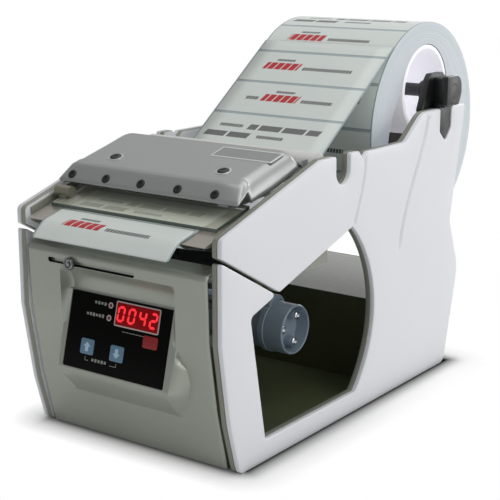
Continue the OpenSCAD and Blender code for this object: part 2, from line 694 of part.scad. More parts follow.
module edge_guide() {
    z = clear_at(guide_bar_y) + clear_t;
    color("#b3a48c") union() {
        rod(guide_bar_y, z + guide_bar_r / cos(peel_slope), guide_bar_r, -88.5, -72.5);
        along_x(-84, -77) polygon([[guide_bar_y - 3, clear_at(guide_bar_y - 3) + clear_t],
            [guide_bar_y + 3, clear_at(guide_bar_y + 3) + clear_t], [guide_bar_y + 3, z + guide_bar_r],
            [guide_bar_y - 3, z + guide_bar_r]]);
        rod(guide_bar_y, z + guide_bar_r / cos(peel_slope), guide_bar_r - 2, -90, -88.5 + eps);
    }
}

// ---- rollers, motor and belt
module roller(y, z, r, half, tint) {
    color(tint) rod(y, z, r, -half, half);
    color("#a9acb1") rod(y, z, shaft_r, -plate_x - plate_t, plate_x + plate_t);
}
module guide_roller() { roller(guide_y, guide_z, guide_r, 88, "#e6e3da"); }
module feed_roller() {
    roller(feed_y, feed_z, feed_r, 76, "#2b2b2d");
    color("#3a3a3d") rod(feed_y, feed_z, feed_pulley_r, pulley_x0, pulley_x0 + pulley_w);
}
module counter_roller() { roller(feed_y, counter_z, feed_r, 76, "#55575a"); }
module motor_pulley() {
    color("#3a3a3d") rod(motor_y, motor_z, motor_pulley_r, pulley_x0, pulley_x0 + pulley_w);
    color("#a9acb1") rod(motor_y, motor_z, 2.5, pulley_x0 + pulley_w - eps, pulley_x0 + pulley_w + 6);
}
module feed_motor() {
    color("#3f4246") difference() {
        rod(motor_y, motor_z, 14, pulley_x0 + pulley_w + 4, pulley_x0 + pulley_w + 50);
        rod(motor_y, motor_z, 2.5 + run_gap, pulley_x0 + pulley_w + 3, pulley_x0 + pulley_w + 7);
    }
}
module motor_mount() {
    x = pulley_x0 + pulley_w + 2;
    color("#9a9da2") {
        difference() {
            along_x(x, x + 2) polygon([[motor_y - 14, motor_z - 16], [motor_y + 34, motor_z - 16],
                [motor_y + 34, motor_z + 16], [motor_y - 14, motor_z + 16]]);
            rod(motor_y, motor_z, 3.2, x - 1, x + 3);
        }
        for (z = [motor_z - 12, motor_z + 12]) rod(motor_y + 28, z, 3, -plate_x, x + eps);
    }
}
belt_turn = asin((feed_pulley_r - motor_pulley_r) / norm([motor_y - feed_y, motor_z - feed_z]));
belt_dir = atan2(motor_z - feed_z, motor_y - feed_y);
// outline of a belt whose inner face lies at distance g from both pulleys
function belt_loop(g) = concat(
    [for (i = [0:24]) let (a = belt_dir + 90 - belt_turn + i / 24 * (180 + 2 * belt_turn))
        [feed_y, feed_z] + (feed_pulley_r + g) * [cos(a), sin(a)]],
    [for (i = [0:16]) let (a = belt_dir - 90 + belt_turn + i / 16 * (180 - 2 * belt_turn))
        [motor_y, motor_z] + (motor_pulley_r + g) * [cos(a), sin(a)]]);
module feed_belt() {
    color("#202022") difference() {
        along_x(pulley_x0 + 0.5, pulley_x0 + pulley_w - 0.5) polygon(belt_loop(seat_gap + belt_t));
        along_x(pulley_x0, pulley_x0 + pulley_w) polygon(belt_loop(seat_gap));
    }
}

// ---- rewinder
module rewind_motor() {
    color("#3f4246") {
        rod(hub_y, hub_z, 18, -inner_x, hub_x0 - 2);
        rod(hub_y, hub_z, 3, hub_x0 - 2 - eps, hub_x0 + 24);
    }
}
module rewind_hub() {
    r = hub_r;
    color("#8e9aa4") difference() {
        union() {
            rod(hub_y, hub_z, r - 1.3, hub_x0, hub_end - 26);
            rod(hub_y, hub_z, r + 0.8, hub_end - 26, hub_end - 20);
            rod(hub_y, hub_z, r, hub_end - 20 - eps, hub_end);
        }
        rod(hub_y, hub_z, r - 2, hub_end - cup_depth, hub_end + 1);
        rod(hub_y, hub_z, 3 + run_gap, hub_x0 - 1, hub_x0 + 25);
    }
    color("#8e9aa4") for (a = [50, 170, 290]) rod(hub_y + screw_ring * cos(a), hub_z + screw_ring * sin(a),
        4.4, hub_end - cup_depth - eps, hub_end - 6);
}
module hub_screws() {
    color("#d5d8dc") for (a = [50, 170, 290]) translate([hub_end - 6, hub_y + screw_ring * cos(a),
        hub_z + screw_ring * sin(a)]) rotate([0, 90, 0]) difference() {
            cylinder(r = 4, h = 2.6);
            for (t = [0, 90]) rotate(t) translate([0, 0, 2.6]) cube([5, 1, 1.6], center = true);
        }
}
clip_w = 26;
module liner_clip() {
    r = hub_r + 0.8 + seat_gap;
    sector = [for (i = [0:10]) let (a = 62 + i * 5.6) [cos(a), sin(a)]];
    x0 = hub_end - 20 - clip_w;
    color("#7f8b95") {
        translate([0, hub_y, hub_z]) along_x(x0, x0 + clip_w)
            polygon(concat([for (i = [0:10]) sector[i] * (r + 1 + 4 * sin(i * 18))],
                [for (i = [10:-1:0]) sector[i] * r]));
    }
}

// ---- spool, core and roll
module holder(s) {
    x_in = holder_x0;
    hub = [spool_y, spool_z];
    color("#26272a") difference() {
        union() {
            rod(hub.x, hub.y, holder_r, s > 0 ? x_in : -inner_x + 0.5, s > 0 ? inner_x - 0.5 : -x_in);
            rod(hub.x, hub.y, holder_r - 4.5, s > 0 ? inner_x - 1 : -outer_x - 1, s > 0 ? outer_x + 1 : -inner_x + 1);
            rod(hub.x, hub.y, holder_r, s > 0 ? outer_x + 0.5 : -outer_x - holder_out,
                s > 0 ? outer_x + holder_out : -outer_x - 0.5);
            along_x(s > 0 ? inner_x + 0.5 : -outer_x + 1.5, s > 0 ? outer_x - 1.5 : -inner_x - 0.5)
                polygon(rounded([[spool_y - slot_w / 2 + seat_gap, spool_z - 5, 0],
                    [spool_y - slot_w / 2 + seat_gap, slot2_floor + 10 + seat_gap, 3],
                    [spool_y, slot2_floor + seat_gap, 4],
                    [spool_y + slot_w / 2 - seat_gap, slot2_floor + 12 + seat_gap, 3],
                    [spool_y + slot_w / 2 - seat_gap, spool_z - 5, 0]]));
        }
        rod(hub.x, hub.y, rod_r, s > 0 ? x_in - 1 : -shaft_end, s > 0 ? shaft_end : -x_in + 1);
    }
}
module left_holder() { holder(-1); }
module right_holder() { holder(1); }
module spool_shaft() {
    color("#a9acb1") rod(spool_y, spool_z, rod_r, -shaft_end, shaft_end);
}
support_xs = [roll_x0 + 14, roll_x0 + 74];
module core_supports() {
    color("#3a3b3e") for (x = support_xs) difference() {
        rod(spool_y, spool_z, core_r - core_t - seat_gap, x, x + 8);
        rod(spool_y, spool_z, rod_r + run_gap, x - 1, x + 9);
        for (a = [0:60:300]) rod(spool_y + 22 * cos(a), spool_z + 22 * sin(a), 8, x - 1, x + 9);
    }
}
module roll_core() {
    color("#e9e7ec") difference() {
        rod(spool_y, spool_z, core_r, roll_x0, roll_x1);
        rod(spool_y, spool_z, core_r - core_t, roll_x0 - 1, roll_x1 + 1);
    }
}
module egg_hole(g) {
    hull() {
        rod(spool_y, spool_z, core_r + g, roll_x0 - 1, roll_x1 + 1, $fn = 48);
        rod(roll_y, hole_z, hole_r + g, roll_x0 - 1, roll_x1 + 1, $fn = 48);
    }
}
module loose_turns() {
    color("#c3cfd3") difference() {
        rod(roll_y, roll_z, tight_r - seat_gap, roll_x0, roll_x1);
        egg_hole(seat_gap);
    }
}
module label_roll() {
    color("#cfd9dc") difference() {
        rod(roll_y, roll_z, roll_r, roll_x0, roll_x1);
        rod(roll_y, roll_z, tight_r, roll_x0 - 1, roll_x1 + 1);
    }
}

// ---- paper path: off the roll, under the guide roller, over the peeling plate and back
span = [guide_y - roll_y, guide_z - roll_z];
web_fall = asin((roll_r + guide_r + 2 * seat_gap + web_t) / norm(span)) + atan2(-span.y, -span.x);
off_roll = [roll_y, roll_z] + (roll_r + seat_gap) * [-sin(web_fall), cos(web_fall)];
on_guide = [guide_y, guide_z] - (guide_r + seat_gap + web_t) * [-sin(web_fall), cos(web_fall)];
plate_end = [peel_y + peel_l, peel_at(peel_y + peel_l) + seat_gap];
leave_a = atan2(guide_z - guide_r - seat_gap - web_t - plate_end.y, guide_y - plate_end.x);
web_path = concat([off_roll],
    [for (i = [0:6]) let (a = web_fall + (leave_a - web_fall) * i / 6)
        [guide_y, guide_z] - (guide_r + seat_gap + web_t) * [-sin(a), cos(a)]],
    [plate_end, [peel_y - 0.6, peel_z + seat_gap], [peel_y - 1.2, peel_z - 1], [peel_y + 4, peel_z - 4.6],
     [feed_y - 14, feed_z - feed_r - seat_gap], [feed_y + 12, feed_z - feed_r - seat_gap]]);
// a ribbon of paper along a path, drifting sideways with depth: one ring of four points a station
module ribbon(path, half, t, drift = true) {
    n = len(path);
    pts = [for (i = [0:n - 1]) let (p = path[i], q = p - side_of(path, i) * t, m = drift ? web_mid(min(p.x, 300)) : -2)
        each [[m - half, p.x, p.y], [m + half, p.x, p.y], [m + half, q.x, q.y], [m - half, q.x, q.y]]];
    polyhedron(pts, concat([[0, 1, 2, 3], [4 * n - 1, 4 * n - 2, 4 * n - 3, 4 * n - 4]],
        [for (i = [0:n - 2], k = [0:3]) let (a = 4 * i + k, b = 4 * i + (k + 1) % 4) each
            [[a, a + 4, b + 4], [a, b + 4, b]]]));
}
module label_web() { color("#d4dcda") ribbon(web_path, roll_w / 2, web_t); }
label_back = peel_y + label_l - norm([label_out, label_droop]);
label_lift = web_t + 3 * seat_gap;
label_path = concat([[label_back, peel_at(label_back) + label_lift]],
    bezier([peel_y + 2, peel_at(peel_y + 2) + label_lift], [peel_y - 3, peel_z + label_lift],
        [peel_y - label_out * 0.6, peel_z - label_droop * 0.45], [peel_y - label_out, peel_z - label_droop], 4));
module dispensed_label() { color("#dfe5e2") ribbon(label_path, roll_w / 2, 0.35, false); }

place() left_side_panel();
place() right_side_panel();
place() base_plate();
place() rubber_feet();
place() rear_housing();
place() rear_plate();
place() rear_plate_screws();
place() power_inlet();
place() switch_frame();
place() power_switch();
place() power_supply();
place() transformer();
place() left_bearing_plate();
place() right_bearing_plate();
place() bearing_plate_screws();
place() front_crossbar();
place() front_panel();
place() keypad_plate();
place() display_module();
place() display_segments();
place() display_frame();
place() indicator_lamps();
place() up_key();
place() down_key();
place() reset_key();
place() control_board();
place() board_screws();
place() sensor_rail();
place() label_sensor();
place() sensor_knob();
place() peel_bar();
place() peel_plate();
place() top_cover();
place() cover_front_screws();
place() cover_top_screws();
place() badge_plate();
place() hinge_pins();
place() clear_plate();
place() plate_brackets();
place() edge_guide();
place() guide_roller();
place() feed_roller();
place() counter_roller();
place() feed_motor();
place() motor_mount();
place() motor_pulley();
place() feed_belt();
place() rewind_motor();
place() rewind_hub();
place() hub_screws();
place() liner_clip();
place() spool_shaft();
place() left_holder();
place() right_holder();
place() core_supports();
place() roll_core();
place() loose_turns();
place() label_roll();
place() label_web();
place() dispensed_label();
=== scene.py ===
# %% [markdown]
# # Dressing a desktop label dispenser
# The machine peels labels off a paper strip and pushes them out at its front edge. Its frame
# comes in as plain exact solids. This lesson keeps every solid where it is and gives the ones
# that show a finer surface: rounded rims, pressed grooves, paper layers and painted sheet.

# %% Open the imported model
import json
import math
import bmesh
import bpy
import numpy as np
from mathutils import Matrix
from mathutils.geometry import delaunay_2d_cdt


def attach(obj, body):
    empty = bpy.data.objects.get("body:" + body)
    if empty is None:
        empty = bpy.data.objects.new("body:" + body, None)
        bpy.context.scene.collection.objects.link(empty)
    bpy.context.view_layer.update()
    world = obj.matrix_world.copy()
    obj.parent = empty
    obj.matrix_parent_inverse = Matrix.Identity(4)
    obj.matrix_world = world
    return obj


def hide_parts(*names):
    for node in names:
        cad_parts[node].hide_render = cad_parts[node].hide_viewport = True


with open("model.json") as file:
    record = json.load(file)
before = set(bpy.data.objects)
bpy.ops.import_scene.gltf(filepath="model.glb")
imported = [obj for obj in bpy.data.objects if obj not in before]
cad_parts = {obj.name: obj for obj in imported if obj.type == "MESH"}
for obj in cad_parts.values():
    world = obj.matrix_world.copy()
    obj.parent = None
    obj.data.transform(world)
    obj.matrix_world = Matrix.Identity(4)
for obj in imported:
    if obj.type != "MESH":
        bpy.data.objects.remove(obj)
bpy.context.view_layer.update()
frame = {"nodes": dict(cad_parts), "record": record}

# %% [markdown]
# ## One set of measures
# All sizes below are millimetres in the machine's own drawing: X to the right, Y to the rear
# from the console's knee, Z up. `place` turns them into Blender's metres. The drawing is centred
# on its depth, so Y is shifted by half the distance from the label's tip to the roll's rear.

# %% Measures
MM = 0.001
ROLL_R = 96.2
ROLL_Y = 345.0
ROLL_Z = 230.4
SHIFT = (-18 + ROLL_Y + ROLL_R) / 2
OUTER_X = 105.0
INNER_X = 95.0


def place(points):
    """Drawing millimetres to Blender metres: y loses SHIFT, then everything is scaled by 0.001."""
    p = np.array(points, float)
    p[..., 1] -= SHIFT
    return p * MM


print("depth shift", SHIFT, "mm")

# %% [markdown]
# ## Surfaces from arrays
# A surface is a grid of points computed by numpy in one go. `grid_faces` joins neighbours into
# four-sided faces, and `make` puts the arrays into a mesh. Spinning, lofting and sweeping are
# then only different formulas for the grid.

# %% Grid helpers
def grid_faces(nu, nv, wrap_u=False, wrap_v=False, start=0):
    """Quads between points (i, j), (i+1, j), (i+1, j+1), (i, j+1) of an nu by nv grid."""
    i, j = np.meshgrid(np.arange(nu - (not wrap_u)), np.arange(nv - (not wrap_v)), indexing="ij")
    k, m = (i + 1) % nu, (j + 1) % nv
    return np.stack([i * nv + j, k * nv + j, k * nv + m, i * nv + m], -1).reshape(-1, 4) + start


def make(name, verts, faces, body, slot, replaced=(), smooth=True, solid=True, uv=None):
    """A mesh object from arrays; uv holds one (u, v) pair for each vertex."""
    mesh = bpy.data.meshes.new(name)
    mesh.from_pydata(place(verts).tolist(), [], [list(map(int, f)) for f in faces])
    if uv is not None:
        layer = mesh.uv_layers.new(name="UVMap")
        index = np.zeros(len(mesh.loops), np.int64)
        mesh.loops.foreach_get("vertex_index", index)
        layer.data.foreach_set("uv", np.asarray(uv, float)[index].reshape(-1))
    bm = bmesh.new()
    bm.from_mesh(mesh)
    if solid:
        bmesh.ops.remove_doubles(bm, verts=bm.verts, dist=1e-6)
        bmesh.ops.recalc_face_normals(bm, faces=bm.faces)
    bm.to_mesh(mesh)
    bm.free()
    obj = bpy.data.objects.new(name, mesh)
    bpy.context.scene.collection.objects.link(obj)
    mesh.shade_smooth() if smooth else mesh.shade_flat()
    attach(obj, body)
    if replaced:
        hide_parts(*replaced)
    return obj


def sharpen(obj, degrees=35):
    """Keeps edges sharper than the angle crisp while the rest shades smooth."""
    bm = bmesh.new()
    bm.from_mesh(obj.data)
    limit = math.radians(degrees)
    for e in bm.edges:
        e.smooth = not (len(e.link_faces) == 2 and e.calc_face_angle(0) > limit)
    bm.to_mesh(obj.data)
    bm.free()
    return obj


def merge(*parts):
    """Joins (verts, faces) pairs into one pair by shifting the face indices."""
    verts, faces, n = [], [], 0
    for v, f in parts:
        v = np.asarray(v, float).reshape(-1, 3)
        verts.append(v)
        faces.extend([[int(i) + n for i in face] for face in f])
        n += len(v)
    return np.concatenate(verts), faces


def prism_faces(n):
    """Faces of a prism whose two ends have n corners each."""
    return [*grid_faces(2, n, wrap_v=True), list(range(n)), list(range(n, 2 * n))]


def thicken(obj, thickness, offset):
    """Gives a surface a thickness in millimetres; offset -1 puts it all behind the surface."""
    sheet = obj.modifiers.new("sheet", "SOLIDIFY")
    sheet.thickness = thickness * MM
    sheet.offset = offset


# %% [markdown]
# ## Outlines with round corners
# Most pieces of this machine are outlines with a thickness. A corner is written as (y, z, r),
# and `rounded` swaps it for the arc that touches both sides.

# %% Outline helpers
def unit(v):
    return v / np.linalg.norm(v)


def rounded(corners, n=6):
    """Arc centre = corner + bisector * r / sin(half angle); it starts and ends r / tan(half) away."""
    out = []
    c = [np.array(k, float) for k in corners]
    for i, p in enumerate(c):
        if len(p) < 3 or p[2] == 0:
            out.append(p[:2])
            continue
        u, v = unit(c[i - 1][:2] - p[:2]), unit(c[(i + 1) % len(c)][:2] - p[:2])
        half = math.acos(float(np.clip(u @ v, -1, 1))) / 2
        centre = p[:2] + unit(u + v) * p[2] / math.sin(half)
        s, e = p[:2] + u * p[2] / math.tan(half) - centre, p[:2] + v * p[2] / math.tan(half) - centre
        a = math.atan2(s[1], s[0])
        turn = math.atan2(s[0] * e[1] - s[1] * e[0], s @ e)
        t = a + turn * np.linspace(0, 1, n + 1)
        out.extend(centre + p[2] * np.stack([np.cos(t), np.sin(t)], -1))
    return np.array(out)


def bezier(a, b, c, d, n):
    """(1-t)^3 a + 3 (1-t)^2 t b + 3 (1-t) t^2 c + t^3 d, for t from 0 to 1."""
    t = np.linspace(0, 1, n + 1)[:, None]
    a, b, c, d = (np.array(p, float) for p in (a, b, c, d))
    return (1 - t) ** 3 * a + 3 * (1 - t) ** 2 * t * b + 3 * (1 - t) * t ** 2 * c + t ** 3 * d


def inset(outline, d):
    """Moves every point inwards by d along the mitre of its two edges (outline runs anticlockwise)."""
    before, after = outline - np.roll(outline, 1, 0), np.roll(outline, -1, 0) - outline
    n0 = np.stack([-before[:, 1], before[:, 0]], -1)
    n1 = np.stack([-after[:, 1], after[:, 0]], -1)
    n0 /= np.linalg.norm(n0, axis=1)[:, None]
    n1 /= np.linalg.norm(n1, axis=1)[:, None]
    m = n0 + n1
    m /= np.maximum((m * n0).sum(1), 0.35)[:, None]
    return outline + m * d


def area(outline):
    """Shoelace formula; positive for an anticlockwise outline."""
    x, y = outline.T
    return float((x * np.roll(y, -1) - np.roll(x, -1) * y).sum() / 2)


def anticlockwise(outline):
    return outline if area(outline) > 0 else outline[::-1]


def walked(line):
    """Length of the way from the first point of a polyline to each of its points."""
    return np.concatenate([[0], np.cumsum(np.linalg.norm(np.diff(line, axis=0), axis=1))])


def inside(points, outline):
    """Even-odd rule for many points at once: counts the edges that a ray to the right crosses."""
    x, y = points[:, :1], points[:, 1:]
    x0, y0 = outline.T
    x1, y1 = np.roll(x0, -1), np.roll(y0, -1)
    slope = (x1 - x0) / np.where(y1 == y0, 1e-9, y1 - y0)
    hit = ((y0 > y) != (y1 > y)) & (x < slope * (y - y0) + x0)
    return hit.sum(1) % 2 == 1


def distance(points, line, closed=False):
    """Least distance from each point to a polyline, over all its segments at once."""
    a = line if closed else line[:-1]
    b = np.roll(line, -1, 0) if closed else line[1:]
    d = b - a
    t = ((points[:, None] - a) * d).sum(2) / np.maximum((d * d).sum(1), 1e-12)
    near = a + np.clip(t, 0, 1)[..., None] * d
    return np.linalg.norm(points[:, None] - near, axis=2).min(1)


def fill(outline, extra=None):
    """Constrained Delaunay triangles inside an outline, with extra points as further corners."""
    pts = outline if extra is None or not len(extra) else np.concatenate([outline, extra])
    n = len(outline)
    edges = [(i, (i + 1) % n) for i in range(n)]
    v, _, f, *_ = delaunay_2d_cdt([tuple(p) for p in pts], edges, [], 1, 1e-7)
    return np.array([(p[0], p[1]) for p in v]), f


def capped(grid, flat):
    """A stack of rings, closed at both ends; flat names the two axes that lie in an end."""
    parts = [(grid.reshape(-1, 3), grid_faces(*grid.shape[:2], wrap_v=True))]
    for ring in (grid[0], grid[-1]):
        v, f = fill(ring[:, flat])
        cap = np.tile(ring[0], (len(v), 1))
        cap[:, flat] = v
        parts.append((cap, f))
    return merge(*parts)


def plate(name, outline, x0, x1, rim, body, slot, replaced=(), steps=4):
    """An outline in (y, z) with thickness x0..x1 and quarter-round rims of radius rim on both faces:
    ring k is inset by rim (1 - cos a) and set in by rim (1 - sin a), a from 0 to 90 degrees."""
    o = anticlockwise(outline)
    a = np.linspace(0, math.pi / 2, steps + 1)
    rings = []
    for x, inwards, t in [(x0, 1, t) for t in a[::-1]] + [(x1, -1, t) for t in a]:
        x = x + inwards * rim * (1 - math.sin(t))
        rings.append(np.column_stack([np.full(len(o), x), inset(o, rim * (1 - math.cos(t)))]))
    return sharpen(make(name, *capped(np.stack(rings), [1, 2]), body, slot, replaced), 50)


# %% [markdown]
# ## Turned pieces
# Rollers, hubs, screws and cores are profiles spun round an axis that lies along X.

# %% Lathe
def spin(profile, y, z, n=64):
    """Point (x, r) of the profile becomes (x, y + r cos t, z + r sin t) for n angles t."""
    p = np.array(profile, float)
    t = np.linspace(0, 2 * math.pi, n, endpoint=False)
    r = p[:, 1:] * np.ones(n)
    x = np.repeat(p[:, :1], n, 1)
    grid = np.stack([x, y + r * np.cos(t), z + r * np.sin(t)], -1)
    return grid.reshape(-1, 3), grid_faces(len(p), n, wrap_v=True)


def soften(profile, r=0.6, n=3):
    """Rounds every corner of an open profile by up to r millimetres."""
    p = [np.array(q, float) for q in profile]
    out = [p[0]]
    for a, b, c in zip(p, p[1:], p[2:]):
        la, lc = np.linalg.norm(a - b), np.linalg.norm(c - b)
        k = min(r, la * 0.45, lc * 0.45)
        s, e = b + (a - b) / la * k, b + (c - b) / lc * k
        t = np.linspace(0, 1, n + 1)[:, None]
        out.extend((1 - t) ** 2 * s + 2 * (1 - t) * t * b + t ** 2 * e)
    out.append(p[-1])
    return np.array(out)


def turned(name, profile, y, z, body, slot, replaced=(), r=0.6, n=64, close=False):
    """A lathe piece; a profile that ends on the axis closes by itself, a tube's closes on its start."""
    p = soften(profile + [profile[0]] if close else profile, r)
    return sharpen(make(name, *spin(p, y, z, n), body, slot, replaced), 40)


# %% [markdown]
# ## Shader sums
# A finish is easier to read as a formula than as a drawing of boxes. `Wire` holds one output
# socket, and its operators add the Math nodes. `Nodes.add` makes any other node, in a material,
# where `Paint` helps with the usual ones, or in the world.

# %% Wire, Nodes and Paint
class Wire:
    """A socket with operators: a + b, 1 - a and so on each add one Math node."""

    def __init__(self, nodes, socket):
        self.nodes, self.socket = nodes, socket

    def math(self, operation, *others):
        return self.nodes.add("ShaderNodeMath", {"operation": operation}, [self, *others])

    def out(self, key):
        """Another output of the same node."""
        return Wire(self.nodes, self.socket.node.outputs[key])

    def __add__(self, other):
        return self.math("ADD", other)

    def __sub__(self, other):
        return self.math("SUBTRACT", other)

    def __rsub__(self, other):
        return self.nodes.add("ShaderNodeMath", {"operation": "SUBTRACT"}, [other, self])

    def __mul__(self, other):
        return self.math("MULTIPLY", other)

    def __truediv__(self, other):
        return self.math("DIVIDE", other)

    def __gt__(self, other):
        return self.math("GREATER_THAN", other)

    def __lt__(self, other):
        return self.math("LESS_THAN", other)

    def __mod__(self, other):
        return self.math("FLOORED_MODULO", other)

    __radd__ = __add__
    __rmul__ = __mul__


class Nodes:
    """A node tree under construction; add() makes a node from its type, settings and inputs."""

    def __init__(self, tree):
        self.tree = tree

    def add(self, kind, settings=None, inputs=(), out=0):
        node = self.tree.nodes.new(kind)
        for key, value in (settings or {}).items():
            setattr(node, key, value)
        items = inputs.items() if isinstance(inputs, dict) else enumerate(inputs)
        for key, value in items:
            self.join(value, node.inputs[key])
        return Wire(self, node.outputs[out])

    def join(self, value, socket):
        if isinstance(value, Wire):
            self.tree.links.new(value.socket, socket)
        else:
            socket.default_value = value


class Paint(Nodes):
    """A material on its Principled node, whose uniform sockets are given by name."""

    def __init__(self, name, **uniform):
        self.material = bpy.data.materials.new(name)
        self.material.use_nodes = True
        super().__init__(self.material.node_tree)
        self.shader = self.tree.nodes["Principled BSDF"]
        self.into(**uniform)

    def into(self, **links):
        for key, value in links.items():
            self.join(value, self.shader.inputs[key.replace("_", " ")])
        return self

    def where(self):
        return self.add("ShaderNodeTexCoord", out="Object")

    def noise(self, size, detail=3.0, rough=0.5, stretch=None):
        """Noise with features about size millimetres across, 0 to 1."""
        at = self.where()
        if stretch:
            at = self.add("ShaderNodeMapping", None, {"Vector": at, "Scale": stretch})
        inputs = {"Vector": at, "Scale": 1 / (size * MM), "Detail": detail, "Roughness": rough}
        return self.add("ShaderNodeTexNoise", None, inputs)

    def blend(self, factor, a, b):
        """Mixes two colours, or two wires that carry colours."""
        inputs = {0: factor, 6: a, 7: b}
        return self.add("ShaderNodeMix", {"data_type": "RGBA"}, inputs, out=2)

    def bump(self, height, depth):
        return self.add("ShaderNodeBump", None, {"Height": height, "Distance": depth * MM})


def rgb(r, g, b):
    """sRGB bytes to the linear colour that a shader expects."""
    c = np.array([r, g, b]) / 255
    lin = np.where(c <= 0.04045, c / 12.92, ((c + 0.055) / 1.055) ** 2.4)
    return (*map(float, lin), 1.0)


def scaled(colour, k):
    """A colour times k, at most 1."""
    return tuple(min(1.0, c * k) for c in colour[:3]) + (1.0,)


# %% [markdown]
# ## Finishes
# The panels are moulded plastic in a cool white, the front and the cover are metallic paint on
# sheet, the spool is black nylon, and the paper has a low sheen. Each finish varies a little over
# the surface, because nothing real has one flat colour: cloudy tone and fine grain.

# %% Recipes for finishes
def coated(name, colour, tone=0.05, rough=0.4, grain=0.25, depth=0.012, metal=0.0, coat=0.0, cloud=60):
    """Paint or plastic: base colour clouded by large noise, bump and roughness from fine grain."""
    p = Paint(name, Metallic=metal, Coat_Weight=coat, Coat_Roughness=0.12)
    clouds = p.noise(cloud, 4)
    fine = p.noise(grain, 2)
    base = p.blend(clouds, scaled(colour, 1 - 2 * tone), scaled(colour, 1 + tone))
    p.into(Base_Color=base, Roughness=rough - 0.08 + 0.16 * fine)
    p.into(Normal=p.bump(fine, depth))
    return p.material


def brushed(name, colour, rough=0.32, along=(1, 14, 14), metal=1.0):
    """Brushed metal: noise stretched along one axis drives tone, roughness and bump."""
    p = Paint(name, Metallic=metal)
    lines = p.noise(4, 5, 0.6, stretch=along)
    p.into(Base_Color=p.blend(lines, scaled(colour, 0.78), colour), Roughness=rough - 0.1 + 0.2 * lines)
    p.into(Normal=p.bump(lines, 0.01))
    return p.material


FINISH = {
    "bright rim": coated("bright plate rim", rgb(222, 224, 223), 0.02, 0.3, 0.5, 0.004, 0.2),
    "badge face": coated("plain plate face", rgb(146, 149, 147), 0.06, 0.4, 0.4, 0.01, 0.3, cloud=12),
    "side": coated("cool white moulding", rgb(226, 228, 232), 0.012, 0.34, 0.5, 0.006, cloud=120),
    "liner": coated("grey panel liner", rgb(142, 143, 132), 0.05, 0.45, 0.4, 0.008),
    "front": coated("silver grey metallic paint", rgb(164, 169, 159), 0.03, 0.34, 0.12, 0.005, 0.5),
    "cover": coated("grey metallic paint", rgb(166, 169, 168), 0.025, 0.3, 0.12, 0.005, 0.5),
    "olive": coated("olive chassis paint", rgb(74, 80, 52), 0.12, 0.5, 0.3),
    "dark": coated("black chassis paint", rgb(34, 34, 36), 0.1, 0.45, 0.3),
    "steel": brushed("brushed steel", rgb(176, 178, 182)),
    "bright": coated("polished screws", rgb(214, 216, 220), 0.02, 0.16, 0.6, 0.004, 1.0),
    "knob": coated("chromed knob", rgb(150, 152, 152), 0.3, 0.2, 1.2, 0.06, 1.0, cloud=2),
    "nylon": coated("black nylon", rgb(23, 24, 25), 0.1, 0.36, 0.35, 0.015),
    "soft black": coated("black plastic", rgb(22, 22, 24), 0.1, 0.5, 0.3, 0.02),
    "slate": coated("blue grey plastic", rgb(134, 150, 163), 0.04, 0.3, 0.5, 0.008, coat=0.2),
    "ivory": coated("ivory roller", rgb(216, 216, 212), 0.02, 0.42, 0.5, 0.01),
    "rubber": coated("roller rubber", rgb(40, 40, 42), 0.08, 0.72, 0.25, 0.03),
    "beige": brushed("beige anodised plate", rgb(186, 180, 171), 0.36, (1, 10, 10), 0.6),
    "bronze": brushed("dark bronze guide", rgb(150, 148, 132), 0.4, (1, 10, 10), 0.5),
    "board": coated("green circuit board", rgb(38, 92, 58), 0.1, 0.4, 0.5),
    "copper": coated("varnished windings", rgb(150, 88, 44), 0.15, 0.4, 0.6, 0.05),
    "core": coated("white core board with painted glow", rgb(246, 245, 249), 0.01, 0.6, 0.4, 0.02, cloud=30),
}


def tune(finish, **values):
    """Sets uniform sockets of a finish that is already made."""
    inputs = FINISH[finish].node_tree.nodes["Principled BSDF"].inputs
    for key, value in values.items():
        inputs[key.replace("_", " ")].default_value = value


# Painted glow: the core board, and the supports that share its finish, give off a faint white light so the
# shaded bore reads bright; the core is no lamp.
tune("core", Emission_Color=rgb(240, 240, 246), Emission_Strength=0.28)
SLOT_FINISH = {
    "side_paint": "side", "front_paint": "front", "cover_paint": "cover", "base_paint": "olive",
    "dark_paint": "dark", "steel": "steel", "bright": "bright", "black_plastic": "soft black",
    "gloss_black": "soft black", "grey_plastic": "slate", "white_plastic": "ivory",
    "blue_key": "slate", "red_key": "copper", "red_window": "copper", "led": "copper",
    "clear": "steel", "paper": "core", "board": "board", "rubber_dark": "rubber",
    "beige_plate": "beige", "badge": "steel", "copper": "copper",
}


def housing_paint(name, height):
    """Olive chassis with a pale lid: object z above the given height turns the colour to light grey."""
    p = Paint(name)
    z = p.add("ShaderNodeSeparateXYZ", None, [p.where()], out=2)
    lid = z > height * MM
    streak = p.noise(6, 4, stretch=(1, 6, 1))
    fine = p.noise(0.4, 2)
    pale = p.blend(streak, rgb(206, 204, 196), rgb(240, 241, 238))
    deep = p.blend(p.noise(60, 3), rgb(54, 58, 34), rgb(70, 73, 48))
    p.into(Base_Color=p.blend(lid, deep, pale), Roughness=0.42 + 0.16 * fine, Normal=p.bump(fine, 0.01))
    return p.material


for part in frame["record"]["subparts"]:
    solid = frame["nodes"][part["node"]]
    solid.data.materials.clear()
    solid.data.materials.append(FINISH[SLOT_FINISH[part["material_slot"]]])
LID_HEIGHT = 83.6
frame["nodes"]["rear_housing"].data.materials[0] = housing_paint("housing with pale lid", LID_HEIGHT)
for name, finish in (("edge_guide", "bronze"), ("core_supports", "core"), ("spool_shaft", "dark"),
                     ("left_bearing_plate", "liner"), ("right_bearing_plate", "liner")):
    frame["nodes"][name].data.materials[0] = FINISH[finish]
print("finishes:", len(FINISH))


def dress(obj, finish):
    """Gives a piece one of the finishes, by name."""
    obj.data.materials.clear()
    obj.data.materials.append(FINISH[finish])
    return obj


def joined(name, parts, body, slot, finish, replaced=(), degrees=40):
    """One dressed piece from several (verts, faces) pairs."""
    return dress(sharpen(make(name, *merge(*parts), body, slot, replaced), degrees), finish)


